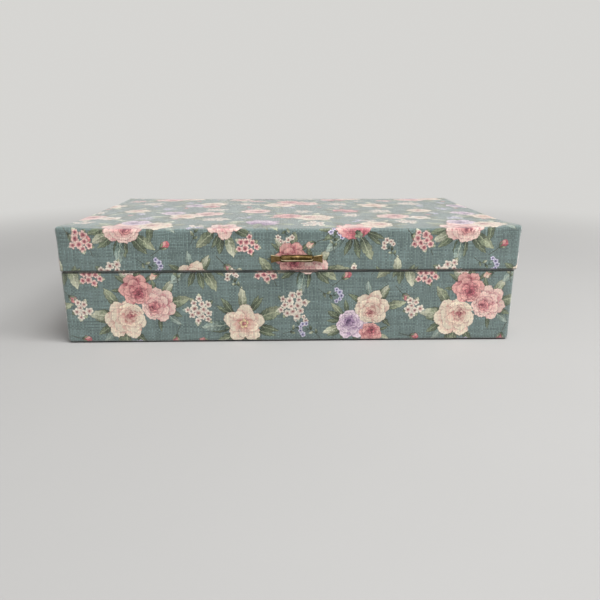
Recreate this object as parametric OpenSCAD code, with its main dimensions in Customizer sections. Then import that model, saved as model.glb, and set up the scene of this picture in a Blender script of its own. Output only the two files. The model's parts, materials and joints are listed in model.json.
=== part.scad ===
// Fabric covered jewellery box: a shallow hinged case of wood fibre boards wrapped in printed cloth.
// The front faces -Y, +Z is up, and the origin is the middle of the underside, on the table.

/* [Base] */
// Width of the base across its covered sides
base_w = 280; // [240:1:340]
// Depth of the base from front to back
base_d = 175; // [150:1:230]
// Height of the base from the table to its rim
base_h = 45.6; // [40:0.1:60]
// Radius of the upright covered corners of the base
base_corner_r = 2; // [1.4:0.1:2.4]
// Radius of the covered edges along the rim and the foot of the base
base_edge_r = 1.2; // [0.9:0.1:1.6]

/* [Lid] */
// Height of the lid from its rim to its top
lid_h = 26; // [22:0.1:40]
// How far the lid stands out past each side of the base
lid_over_side = 0.75; // [0.5:0.05:1.5]
// How far the lid stands out past the front and the back of the base
lid_over_front = 0.5; // [0.2:0.05:1.2]
// How far the lid was set to the right of the base when it was hinged
lid_shift = 0.5; // [0:0.05:0.6]
// Gap between the rim of the base and the rim of the lid
lid_gap = 0.4; // [0.3:0.05:0.8]
// Radius of the upright covered corners of the lid
lid_corner_r = 2.1; // [1.4:0.1:2.4]
// Radius of the covered edges along the rim and the top of the lid
lid_edge_r = 1.6; // [0.9:0.1:1.7]

/* [Boards and cloth] */
// Thickness of the wall boards
wall_t = 5; // [4:0.1:8]
// Thickness of the floor board
floor_t = 4; // [3:0.1:6]
// Thickness of the lid's top board
top_t = 4; // [3:0.1:6]
// Thickness of the printed cloth with its glue
cover_t = 0.5; // [0.4:0.05:0.7]
// Width of the cloth that is turned under the base
hem_w = 12; // [8:0.5:20]
// Thickness of the black paper sheet under the base
sheet_t = 0.7; // [0.4:0.05:1.2]
// How far that sheet stays back from the sides
sheet_inset = 1.6; // [1.3:0.1:4]

/* [Lining] */
// Thickness of the velvet covered lining cards
liner_t = 2; // [1.5:0.1:3]
// How far the lining stays below the rim of the base
liner_drop = 3; // [2:0.1:6]
// How far the lining of the lid stays back from its rim
lid_liner_drop = 2; // [1:0.1:5]
// Thickness of the dividers
divider_t = 3; // [2:0.1:5]
// Height of the dividers above the floor lining
divider_h = 31; // [22:0.5:34]
// Depth of the two front compartments
front_cell_d = 88; // [60:1:110]

/* [Ring rolls] */
// Width of the section that holds the ring rolls
ring_section_w = 84; // [60:1:110]
// Number of ring rolls
roll_count = 5; // [4:1:7]
// Radius of a ring roll
roll_r = 7.4; // [6:0.1:8]
// Gap between two ring rolls
roll_gap = 0.2; // [0.1:0.05:0.6]
// Height of the flat on the underside of a ring roll
roll_flat = 0.6; // [0.3:0.05:1]
// Gap at each end of a ring roll
roll_end_gap = 0.3; // [0.2:0.05:1]
// Height of the bed under the ring rolls
bed_h = 12; // [8:0.5:14]

/* [Mirror] */
// Width of the mirror that shows in its frame
window_w = 150; // [100:1:200]
// Depth of the mirror that shows in its frame
window_d = 100; // [70:1:120]
// How far the frame covers each edge of the mirror
window_lap = 5; // [3:0.5:10]
// Thickness of the mirror glass
mirror_t = 2; // [1.5:0.1:3]
// Thickness of the frame's face below the glass
frame_t = 2; // [1.5:0.1:4]
// Clearance round the mirror in its frame
mirror_fit = 0.3; // [0.1:0.05:0.8]

/* [Hinges] */
// Distance of each hinge from the middle of the back
hinge_x = 85; // [60:1:100]
// Length of a hinge
hinge_len = 25; // [22:0.5:36]
// Length of the middle knuckle
middle_len = 10; // [8:0.5:12]
// Gap between neighbouring knuckles
knuckle_gap = 0.3; // [0.15:0.05:0.5]
// Outer radius of the knuckles
knuckle_r = 1.7; // [1.4:0.05:2.2]
// Clearance between the knuckles and the back of the lid
knuckle_clear = 0.3; // [0.2:0.05:0.8]
// Radius of the hinge pin
pin_r = 0.7; // [0.5:0.05:0.9]
// Radial play of the turning knuckle on its pin
pin_play = 0.05; // [0.03:0.01:0.08]
// Thickness of a hinge leaf
leaf_t = 0.8; // [0.6:0.05:1]
// Gap between the two leaves of a closed hinge
leaf_gap = 0.2; // [0.1:0.05:0.3]
// Clearance round a leaf in its recess
leaf_fit = 0.15; // [0.1:0.05:0.3]
// How far each stop wing reaches past the hinge axis
wing_reach = 4.6; // [4:0.1:6]
// Length of the stop wing on the lid's leaf beyond the middle knuckle, at each end
wing_side = 3; // [2:0.1:5]
// Opening angle at which the stop wings meet, in degrees
open_angle = 100; // [90:1:110]
// Clearance left between the stop wings at that angle, in degrees
stop_play = 0.4; // [0.2:0.1:1]

/* [Screws] */
// Shank radius of the hinge screws
screw_r = 0.8; // [0.6:0.05:1]
// Length of the hinge screws
screw_len = 7; // [5:0.5:9]
// Head radius of the hinge screws
screw_head_r = 1.5; // [1.3:0.05:1.8]
// Depth of the countersunk head
screw_head_h = 0.6; // [0.4:0.05:0.6]
// Width and depth of the slot in the head
screw_slot = 0.3; // [0.2:0.05:0.3]
// Clearance of the screw in the leaf
screw_clear = 0.1; // [0.05:0.05:0.2]
// Distance of each screw from the middle of its leaf
screw_x = 8; // [7:0.1:9]

/* [Pull] */
// Length of the brass pull
pull_len = 31.5; // [26:0.5:45]
// Distance of the pull to the right of the middle
pull_x = 4; // [0:0.1:20]
// Height of the pull's centre above the rim of the lid
pull_rise = 8.5; // [6:0.1:12]
// Thickness of the round middle of the pull
pull_mid_d = 3.4; // [3:0.1:4.5]
// Height of the flattened ends
pull_end_h = 5; // [4:0.1:7]
// Thickness of the flattened ends
pull_end_t = 1.5; // [1:0.1:2]
// Gap between the middle of the pull and the lid
pull_bow = 1.3; // [0.8:0.1:4]
// Radius of the two studs behind the pull
stud_r = 1; // [0.8:0.05:1.2]
// Distance of each stud from its end of the pull
stud_inset = 2.5; // [2:0.1:4]
// How far a stud stands past its washer
stud_tip = 0.4; // [0.2:0.05:0.6]
// Outer radius of the push-on washers
washer_r = 3; // [2.4:0.1:3.6]
// Thickness of the push-on washers
washer_t = 0.6; // [0.4:0.05:0.8]
// Clearance round a washer in its pocket
washer_clear = 0.3; // [0.1:0.05:0.6]

/* [Hidden] */
// Overrun of every cut past the surface it starts from
over = 1;
// Segments of round shapes
$fn = 48;

// Places along the half length of the pull, from its middle to its end
pull_section_shares = [0, 0.3, 0.5, 0.6, 0.66, 0.72, 0.8, 0.89, 0.96, 1];
// Share of the half length at which the round middle starts to flatten
pull_waist_share = 0.6;
// Points round each section of the pull
pull_sides = 24;
// Exponents of the section's outline: a circle in the middle, nearly a rectangle at the ends
pull_round_power = 2;
pull_flat_power = 5;

// Heights of the base, from the table up
base_foot_z = sheet_t;
base_core_z = base_foot_z + cover_t;
floor_top_z = base_core_z + floor_t;
floor_liner_top_z = floor_top_z + liner_t;
base_core_top_z = base_h - cover_t;
liner_top_z = base_h - liner_drop;

// Heights of the lid
lid_z = base_h + lid_gap;
lid_top_z = lid_z + lid_h;
lid_core_z = lid_z + cover_t;
lid_core_top_z = lid_top_z - cover_t;
ceiling_z = lid_core_top_z - top_t;
mirror_z = ceiling_z - mirror_t;
frame_z = mirror_z - frame_t;

// Plan sizes of the boards and of the spaces that they leave
base_core_w = base_w - 2 * cover_t;
base_core_d = base_d - 2 * cover_t;
base_well_w = base_core_w - 2 * wall_t;
base_well_d = base_core_d - 2 * wall_t;
base_skin_w = base_well_w - 2 * cover_t;
base_skin_d = base_well_d - 2 * cover_t;
cell_w = base_skin_w - 2 * liner_t;
cell_d = base_skin_d - 2 * liner_t;

lid_w = base_w + 2 * lid_over_side;
lid_d = base_d + 2 * lid_over_front;
lid_core_w = lid_w - 2 * cover_t;
lid_core_d = lid_d - 2 * cover_t;
lid_well_w = lid_core_w - 2 * wall_t;
lid_well_d = lid_core_d - 2 * wall_t;
lid_skin_w = lid_well_w - 2 * cover_t;
lid_skin_d = lid_well_d - 2 * cover_t;
lid_cell_w = lid_skin_w - 2 * liner_t;
lid_cell_d = lid_skin_d - 2 * liner_t;

// Places of the dividers
ring_section_d = roll_count * (2 * roll_r + roll_gap) + roll_gap;
long_divider_x = -cell_w / 2 + ring_section_w;
right_cell_x = long_divider_x + divider_t;
right_cell_w = cell_w / 2 - right_cell_x;
left_cross_y = -cell_d / 2 + ring_section_d;
right_cross_y = -cell_d / 2 + front_cell_d;
short_divider_x = right_cell_x + (right_cell_w - divider_t) / 2;
roll_z = floor_liner_top_z + bed_h;

// Places on the hinges, which are the same on the base and on the lid
hinge_y = lid_d / 2 + knuckle_r + knuckle_clear;
hinge_z = base_h + lid_gap / 2;
outer_knuckle_len = (hinge_len - middle_len) / 2 - knuckle_gap;
screw_y = base_d / 2 - cover_t - wall_t / 2;
leaf_reach = hinge_y - max(base_well_d, lid_well_d) / 2 - leaf_fit - leaf_gap;
leaf_root = (pin_r + knuckle_r) / 2;
knuckle_way_r = knuckle_r + knuckle_clear;
wing_angle = (open_angle + stop_play) / 2;

// Places on the pull
pull_z = lid_z + pull_rise;
stud_x = pull_len / 2 - stud_inset;
lid_front_y = -lid_d / 2;
stud_wall = 2 * cover_t + wall_t;
stud_len = stud_wall + washer_t + stud_tip;
pocket_depth = washer_t + 2 * stud_tip;

// Plain shapes

// A box centred on the middle of the plan, from one height to another
module block(w, d, low_z, high_z) {
    translate([-w / 2, -d / 2, low_z])
        cube([w, d, high_z - low_z]);
}

// A rectangle with round corners, centred
module round_rect(w, h, r) {
    square([w - 2 * r, h], center = true);
    square([w, h - 2 * r], center = true);
    for (x = [-1, 1])
        for (y = [-1, 1])
            translate([x * (w / 2 - r), y * (h / 2 - r)])
                circle(r);
}

// A box whose upright corners and whose top and bottom edges are rounded
module soft_box(w, d, low_z, high_z, corner_r, edge_r) {
    h = high_z - low_z;
    translate([0, 0, low_z + h / 2])
        intersection() {
            translate([0, 0, -h / 2])
                linear_extrude(h)
                    round_rect(w, d, corner_r);
            rotate([90, 0, 0])
                translate([0, 0, -d / 2 - over])
                    linear_extrude(d + 2 * over)
                        round_rect(w, h, edge_r);
            rotate([90, 0, 90])
                translate([0, 0, -w / 2 - over])
                    linear_extrude(w + 2 * over)
                        round_rect(d, h, edge_r);
        }
}

// A cylinder along X, centred on the origin
module rod(len, r) {
    rotate([0, 90, 0])
        cylinder(h = len, r = r, center = true);
}

// Both hinges, each with its axis along X through its own origin
module at_hinges() {
    for (side = [-1, 1])
        at_hinge(side)
            children();
}

module at_hinge(side) {
    translate([side * hinge_x, hinge_y, hinge_z])
        children();
}

// The two screws of one leaf, pointing down into the base, with their heads at the face of the leaf
module at_screws(side) {
    for (x = [-1, 1])
        translate([side * hinge_x + x * screw_x, screw_y, hinge_z - leaf_gap / 2])
            children();
}

// The same, pointing up into the lid
module at_lid_screws(side) {
    for (x = [-1, 1])
        translate([side * hinge_x + x * screw_x, screw_y, hinge_z + leaf_gap / 2])
            mirror([0, 0, 1])
                children();
}

// Cuts that several pieces share

// The recess that takes the leaf of one hinge, cut down into the base
module leaf_recess() {
    at_hinges()
        translate([-hinge_len / 2 - leaf_fit, -leaf_reach - leaf_fit, -leaf_gap / 2 - leaf_t])
            cube([hinge_len + 2 * leaf_fit, leaf_reach + 2 * leaf_fit, leaf_t + leaf_gap + over]);
}

// The same recess, cut up into the lid
module lid_leaf_recess() {
    at_hinges()
        mirror([0, 0, 1])
            translate([-hinge_len / 2 - leaf_fit, -leaf_reach - leaf_fit, -leaf_gap / 2 - leaf_t])
                cube([hinge_len + 2 * leaf_fit, leaf_reach + 2 * leaf_fit, leaf_t + leaf_gap + over]);
}

module screw_bore(r) {
    translate([0, 0, -screw_len])
        cylinder(h = screw_len + over, r = r);
}

// The two holes for the studs of the pull, through the lid's front
module stud_holes(r, len) {
    for (x = [-1, 1])
        translate([pull_x + x * stud_x, lid_front_y - over, pull_z])
            rotate([-90, 0, 0])
                cylinder(h = len + over, r = r);
}

// Base: boards, cloth and paper

module base_core() {
    soft_box(base_core_w, base_core_d, base_core_z, base_core_top_z,
             base_corner_r - cover_t, base_edge_r - cover_t);
}

// The walls, cut for the hinges
module base_wall(w, d, x, y) {
    color("burlywood")
        difference() {
            intersection() {
                base_core();
                translate([x, y, 0])
                    block(w, d, 0, base_h);
            }
            leaf_recess();
            for (side = [-1, 1])
                at_screws(side)
                    screw_bore(screw_r);
        }
}

module base_front_board() {
    base_wall(base_w, wall_t, 0, -(base_core_d - wall_t) / 2);
}

module base_back_board() {
    base_wall(base_w, wall_t, 0, (base_core_d - wall_t) / 2);
}

module base_left_board() {
    base_wall(wall_t, base_well_d, -(base_core_w - wall_t) / 2, 0);
}

module base_right_board() {
    base_wall(wall_t, base_well_d, (base_core_w - wall_t) / 2, 0);
}

module base_floor_board() {
    color("burlywood")
        block(base_well_w, base_well_d, base_core_z, floor_top_z);
}

// The printed cloth: over the outside, over the rim, down the inside and turned under the foot
module base_cover() {
    color("cadetblue")
        difference() {
            soft_box(base_w, base_d, base_foot_z, base_h, base_corner_r, base_edge_r);
            difference() {
                base_core();
                block(base_well_w, base_well_d, floor_top_z, base_h);
            }
            block(base_skin_w, base_skin_d, floor_top_z - over, base_h + over);
            block(base_w - 2 * hem_w, base_d - 2 * hem_w, 0, base_core_z + over);
            leaf_recess();
            for (side = [-1, 1])
                at_screws(side)
                    screw_bore(screw_r + screw_clear);
        }
}

// The black sheet under the base, which steps up inside the turned hem
module underside_sheet() {
    color("dimgray") {
        block(base_w - 2 * sheet_inset, base_d - 2 * sheet_inset, 0, sheet_t);
        block(base_w - 2 * hem_w, base_d - 2 * hem_w, 0, base_core_z);
    }
}

// Base: lining and dividers

module front_liner() {
    color("rosybrown")
        translate([0, -(base_skin_d - liner_t) / 2, 0])
            block(base_skin_w, liner_t, floor_top_z, liner_top_z);
}

module back_liner() {
    color("rosybrown")
        translate([0, (base_skin_d - liner_t) / 2, 0])
            block(base_skin_w, liner_t, floor_top_z, liner_top_z);
}

module left_liner() {
    color("rosybrown")
        translate([-(base_skin_w - liner_t) / 2, 0, 0])
            block(liner_t, cell_d, floor_top_z, liner_top_z);
}

module right_liner() {
    color("rosybrown")
        translate([(base_skin_w - liner_t) / 2, 0, 0])
            block(liner_t, cell_d, floor_top_z, liner_top_z);
}

module floor_liner() {
    color("rosybrown")
        block(cell_w, cell_d, floor_top_z, floor_liner_top_z);
}

// A divider with its low corner at x, y, standing on the floor lining, with a rounded top edge
module divider(x, y, len, along_x) {
    color("rosybrown")
        translate([x, y, floor_liner_top_z])
            rotate([90, 0, along_x ? 90 : 180])
                mirror([along_x ? 0 : 1, 0, 0])
                    linear_extrude(len) {
                        square([divider_t, divider_h - divider_t / 2]);
                        translate([divider_t / 2, divider_h - divider_t / 2])
                            circle(divider_t / 2);
                    }
}

module long_divider() {
    divider(long_divider_x, -cell_d / 2, cell_d, false);
}

module left_cross_divider() {
    divider(-cell_w / 2, left_cross_y, ring_section_w, true);
}

module right_cross_divider() {
    divider(right_cell_x, right_cross_y, right_cell_w, true);
}

module short_divider() {
    divider(short_divider_x, -cell_d / 2, front_cell_d, false);
}

// Base: ring rolls on their bed

module ring_bed() {
    color("rosybrown")
        translate([-cell_w / 2, -cell_d / 2, floor_liner_top_z])
            cube([ring_section_w, ring_section_d, bed_h]);
}

// One roll, counted from the front, with a flat where it is glued to the bed
module ring_roll(i) {
    len = ring_section_w - 2 * roll_end_gap;
    y = -cell_d / 2 + roll_gap + roll_r + (i - 1) * (2 * roll_r + roll_gap);
    color("rosybrown")
        translate([-cell_w / 2 + ring_section_w / 2, y, roll_z])
            intersection() {
                translate([0, 0, roll_r - roll_flat])
                    rod(len, roll_r);
                block(len + 2 * over, 2 * roll_r + 2 * over, 0, 2 * roll_r);
            }
}

// Hinges

// A leaf of the base before its cuts: the plate, the barrel and the wing that stops the lid
module leaf_blank(wing_len) {
    translate([-hinge_len / 2, -leaf_reach, -leaf_gap / 2 - leaf_t])
        cube([hinge_len, leaf_reach - leaf_root, leaf_t]);
    rod(hinge_len, knuckle_r);
    rotate([-wing_angle, 0, 0])
        translate([-wing_len / 2, leaf_root, -leaf_t])
            cube([wing_len, wing_reach - leaf_root, leaf_t]);
}

// Room for the knuckle of the other leaf, in the middle or at both ends of the hinge
module middle_room() {
    rod(middle_len + 2 * knuckle_gap, knuckle_way_r);
}

module outer_rooms() {
    for (x = [-1, 1])
        translate([x * (middle_len / 2 + outer_knuckle_len / 2 + knuckle_gap), 0, 0])
            rod(outer_knuckle_len + 2 * knuckle_gap, knuckle_way_r);
}

module countersink() {
    translate([0, 0, -screw_head_h])
        cylinder(h = screw_head_h, r1 = screw_r + screw_clear, r2 = screw_head_r + screw_clear);
    translate([0, 0, -leaf_t - over])
        cylinder(h = leaf_t + 2 * over, r = screw_r + screw_clear);
}

module base_leaf(side) {
    color("goldenrod")
        difference() {
            at_hinge(side)
                leaf_blank(hinge_len);
            at_hinge(side)
                middle_room();
            at_hinge(side)
                rod(hinge_len + 2 * over, pin_r);
            at_screws(side)
                countersink();
        }
}

module lid_leaf(side) {
    color("goldenrod")
        difference() {
            at_hinge(side)
                mirror([0, 0, 1])
                    leaf_blank(middle_len + 2 * wing_side);
            at_hinge(side)
                outer_rooms();
            at_hinge(side)
                rod(hinge_len + 2 * over, pin_r + pin_play);
            at_lid_screws(side)
                countersink();
        }
}

module hinge_pin(side) {
    color("darkgoldenrod")
        at_hinge(side)
            rod(hinge_len, pin_r);
}

// A countersunk wood screw pointing down, with its head at the origin
module screw() {
    difference() {
        union() {
            translate([0, 0, -screw_head_h])
                cylinder(h = screw_head_h, r1 = screw_r, r2 = screw_head_r);
            translate([0, 0, -screw_len])
                cylinder(h = screw_len - screw_head_h, r = screw_r);
        }
        translate([-screw_head_r - over, -screw_slot / 2, -screw_slot])
            cube([2 * screw_head_r + 2 * over, screw_slot, screw_slot + over]);
    }
}

module base_leaf_screws() {
    color("gold")
        for (side = [-1, 1])
            at_screws(side)
                screw();
}

module lid_leaf_screws() {
    color("gold")
        for (side = [-1, 1])
            at_lid_screws(side)
                screw();
}

// Lid: boards and cloth

module at_lid() {
    translate([lid_shift, 0, 0])
        children();
}

module lid_core() {
    soft_box(lid_core_w, lid_core_d, lid_core_z, lid_core_top_z,
             lid_corner_r - cover_t, lid_edge_r - cover_t);
}

// The walls, cut for the hinges and for the studs of the pull
module lid_wall(w, d, x, y) {
    color("burlywood")
        difference() {
            at_lid()
                intersection() {
                    lid_core();
                    translate([x, y, 0])
                        block(w, d, lid_z, ceiling_z);
                }
            lid_leaf_recess();
            for (side = [-1, 1])
                at_lid_screws(side)
                    screw_bore(screw_r);
            stud_holes(stud_r, stud_wall);
        }
}

module lid_front_board() {
    lid_wall(lid_w, wall_t, 0, -(lid_core_d - wall_t) / 2);
}

module lid_back_board() {
    lid_wall(lid_w, wall_t, 0, (lid_core_d - wall_t) / 2);
}

module lid_left_board() {
    lid_wall(wall_t, lid_well_d, -(lid_core_w - wall_t) / 2, 0);
}

module lid_right_board() {
    lid_wall(wall_t, lid_well_d, (lid_core_w - wall_t) / 2, 0);
}

module lid_top_board() {
    color("burlywood")
        at_lid()
            intersection() {
                lid_core();
                block(lid_w, lid_d, ceiling_z, lid_top_z);
            }
}

// The printed cloth: over the top and sides, round the rim and up the inside
module lid_cover() {
    color("cadetblue")
        difference() {
            at_lid()
                difference() {
                    soft_box(lid_w, lid_d, lid_z, lid_top_z, lid_corner_r, lid_edge_r);
                    difference() {
                        lid_core();
                        block(lid_well_w, lid_well_d, lid_z, ceiling_z);
                    }
                    block(lid_skin_w, lid_skin_d, lid_z - over, ceiling_z);
                }
            lid_leaf_recess();
            for (side = [-1, 1])
                at_lid_screws(side)
                    screw_bore(screw_r + screw_clear);
            stud_holes(stud_r, stud_wall + over);
        }
}

// Lid: lining and mirror

module lid_liner(w, d, x, y) {
    color("rosybrown")
        difference() {
            at_lid()
                translate([x, y, 0])
                    block(w, d, lid_z + lid_liner_drop, frame_z);
            translate([0, stud_wall, 0])
                stud_holes(washer_r + washer_clear, pocket_depth);
        }
}

module lid_front_liner() {
    lid_liner(lid_skin_w, liner_t, 0, -(lid_skin_d - liner_t) / 2);
}

module lid_back_liner() {
    lid_liner(lid_skin_w, liner_t, 0, (lid_skin_d - liner_t) / 2);
}

module lid_left_liner() {
    lid_liner(liner_t, lid_cell_d, -(lid_skin_w - liner_t) / 2, 0);
}

module lid_right_liner() {
    lid_liner(liner_t, lid_cell_d, (lid_skin_w - liner_t) / 2, 0);
}

// The covered card that holds the mirror against the top board
module mirror_frame() {
    color("rosybrown")
        at_lid()
            difference() {
                block(lid_skin_w, lid_skin_d, frame_z, ceiling_z);
                block(window_w, window_d, frame_z - over, mirror_z + over);
                block(window_w + 2 * window_lap + 2 * mirror_fit, window_d + 2 * window_lap + 2 * mirror_fit,
                      mirror_z, ceiling_z + over);
            }
}

module mirror_glass() {
    color("lightsteelblue")
        at_lid()
            block(window_w + 2 * window_lap, window_d + 2 * window_lap, mirror_z, ceiling_z);
}

// Pull

// How far the section at a share of the half length has flattened, from 0 to 1
function flattened(share) = max(0, (share - pull_waist_share) / (1 - pull_waist_share));
function mix(a, b, t) = a + (b - a) * t;
function power_sign(v, p) = sign(v) * pow(abs(v), 2 / p);

// A section of the pull: its outline turns from a circle into a flat rounded strip
function pull_section(share, side) =
    let (t = flattened(share),
         half_h = mix(pull_mid_d, pull_end_h, t) / 2,
         half_t = mix(pull_mid_d, pull_end_t, sin(90 * t)) / 2,
         p = mix(pull_round_power, pull_flat_power, t),
         bow = pull_bow * (1 - share * share) * (1 - t))
    [for (i = [0 : pull_sides - 1])
        let (a = 360 * i / pull_sides)
        [side * share * pull_len / 2,
         -bow - half_t * (1 + power_sign(cos(a), p)),
         half_h * power_sign(sin(a), p)]];

module pull_bar() {
    places = [for (i = [len(pull_section_shares) - 1 : -1 : 1]) [pull_section_shares[i], -1],
              for (share = pull_section_shares) [share, 1]];
    rings = len(places);
    points = [for (p = places) each pull_section(p[0], p[1])];
    sides = [for (r = [0 : rings - 2], i = [0 : pull_sides - 1])
        let (j = (i + 1) % pull_sides, a = r * pull_sides, b = a + pull_sides)
        [a + i, a + j, b + j, b + i]];
    first_cap = [for (i = [pull_sides - 1 : -1 : 0]) i];
    last_cap = [for (i = [0 : pull_sides - 1]) (rings - 1) * pull_sides + i];
    polyhedron(points, concat([first_cap], sides, [last_cap]));
}

module pull() {
    color("darkgoldenrod") {
        translate([pull_x, lid_front_y, pull_z])
            pull_bar();
        for (x = [-1, 1])
            translate([pull_x + x * stud_x, lid_front_y - pull_end_t / 2, pull_z])
                rotate([-90, 0, 0])
                    cylinder(h = stud_len + pull_end_t / 2, r = stud_r);
    }
}

module pull_washers() {
    color("silver")
        for (x = [-1, 1])
            translate([pull_x + x * stud_x, lid_front_y + stud_wall, pull_z])
                rotate([-90, 0, 0])
                    difference() {
                        cylinder(h = washer_t, r = washer_r);
                        translate([0, 0, -over])
                            cylinder(h = washer_t + 2 * over, r = stud_r);
                    }
}

base_front_board();
base_back_board();
base_left_board();
base_right_board();
base_floor_board();
base_cover();
underside_sheet();
front_liner();
back_liner();
left_liner();
right_liner();
floor_liner();
long_divider();
left_cross_divider();
right_cross_divider();
short_divider();
ring_bed();
for (i = [1 : roll_count])
    ring_roll(i);
base_leaf(-1);  // left_base_leaf
base_leaf(1);  // right_base_leaf
hinge_pin(-1);  // left_hinge_pin
hinge_pin(1);  // right_hinge_pin
base_leaf_screws();
lid_top_board();
lid_front_board();
lid_back_board();
lid_left_board();
lid_right_board();
lid_cover();
lid_front_liner();
lid_back_liner();
lid_left_liner();
lid_right_liner();
mirror_frame();
mirror_glass();  // mirror
pull();
pull_washers();
lid_leaf(-1);  // left_lid_leaf
lid_leaf(1);  // right_lid_leaf
lid_leaf_screws();
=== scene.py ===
"""A shallow jewellery box of fibreboard covered in printed linen, with a hinged lid, a brass pull, a velvet
lining with ring rolls, and a mirror in the lid.
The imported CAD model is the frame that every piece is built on."""

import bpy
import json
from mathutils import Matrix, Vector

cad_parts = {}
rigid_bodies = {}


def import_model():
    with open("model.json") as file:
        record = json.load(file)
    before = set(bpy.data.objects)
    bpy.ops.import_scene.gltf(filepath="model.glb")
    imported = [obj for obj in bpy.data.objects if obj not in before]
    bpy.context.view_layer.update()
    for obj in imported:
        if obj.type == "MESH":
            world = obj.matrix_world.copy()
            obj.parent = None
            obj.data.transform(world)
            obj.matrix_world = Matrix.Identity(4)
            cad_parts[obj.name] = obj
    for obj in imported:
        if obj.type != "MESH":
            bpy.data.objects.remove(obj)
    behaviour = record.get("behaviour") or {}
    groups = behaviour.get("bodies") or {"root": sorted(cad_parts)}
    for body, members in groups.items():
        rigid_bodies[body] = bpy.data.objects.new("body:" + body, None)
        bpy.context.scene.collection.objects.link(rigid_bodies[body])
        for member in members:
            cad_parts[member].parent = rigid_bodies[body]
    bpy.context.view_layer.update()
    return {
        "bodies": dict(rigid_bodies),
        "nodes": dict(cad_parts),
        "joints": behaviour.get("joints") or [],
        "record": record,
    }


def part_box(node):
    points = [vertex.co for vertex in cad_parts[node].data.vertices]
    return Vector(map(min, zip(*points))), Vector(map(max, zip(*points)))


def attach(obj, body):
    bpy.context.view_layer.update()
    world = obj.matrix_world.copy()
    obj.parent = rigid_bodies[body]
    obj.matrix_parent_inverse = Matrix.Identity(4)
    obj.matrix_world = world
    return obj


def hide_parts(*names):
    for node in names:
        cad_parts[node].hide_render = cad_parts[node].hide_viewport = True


bl_info = {
    "name": "Fabric jewellery box",
    "version": (1, 0, 0),
    "blender": (4, 5, 0),
    "location": "3D View > Sidebar > Jewellery box",
    "description": "Dresses the packed jewellery box in printed linen, velvet, satin, brass and mirror glass",
    "category": "Object",
}

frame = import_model()

import json
import math
import random

import bmesh
import bpy
import numpy as np
from mathutils import Matrix, Vector, noise

MM = 0.001
# Points nearer than this count as one
CLOSE = 0.00001

# The camera's place, its turn (yaw, pitch and roll), and its lens and sensor in millimetres
CAMERA_PLACE = (-0.003565, -0.43234, 0.12466)
CAMERA_TURN = (0.0278, 0.2752, 0.0009)
CAMERA_LENS, SENSOR_WIDTH = 34.5, 36.0
# The lamps: name, place, size and the setting that gives the power
LAMPS = (
    ("key_light", (1.10, -0.42, 1.36), (0.55, 0.45), "key_power"),
    ("fill_light", (0.50, -0.85, 0.85), (0.7, 0.5), "fill_power"),
    ("top_light", (0.22, -0.33, 1.02), (0.5, 0.5), "top_power"),
)
LAMP_AIM = Vector((0.0, 0.0, 0.04))
# The floor's back edge, the radius of its sweep, the height of the backdrop and the steps of the sweep
FLOOR_BACK, SWEEP_RADIUS, BACKDROP_TOP, SWEEP_STEPS = 1.1, 0.45, 2.2, 24
# Distances from the box between which the floor fades to the plain backdrop
PLAIN_REACH = (0.30, 0.80)
# How far the frame laps over the mirror, the gap round the mirror, and how far off the frame's rim may lie
MIRROR_LAP, MIRROR_FIT, RIM_SEARCH = 0.005, 0.0003, MM / 9
# How far a cover runs on behind the lining
TUCK = MM / 10
# Where the repeat of the print starts on each cloth, in millimetres
BASE_PRINT_START, LID_PRINT_START = (12.0, -6.0), (-30.0, 8.0)


# Sizes and colours that a user may change


def length(name, description, millimetres, low=0.0, high=1000.0):
    """A length, given in millimetres and kept in metres."""
    return bpy.props.FloatProperty(name=name, description=description, default=millimetres * MM, min=low * MM,
                                   max=high * MM, precision=5, subtype="DISTANCE", unit="LENGTH")


def colour(name, description, value):
    """A colour, as the shader takes it."""
    return bpy.props.FloatVectorProperty(name=name, description=description, default=value, size=3,
                                         min=0.0, max=1.0, subtype="COLOR")


def share(name, description, value, low=0.0, high=1.0):
    return bpy.props.FloatProperty(name=name, description=description, default=value, min=low, max=high,
                                   subtype="FACTOR" if high == 1.0 else "NONE")


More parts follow.
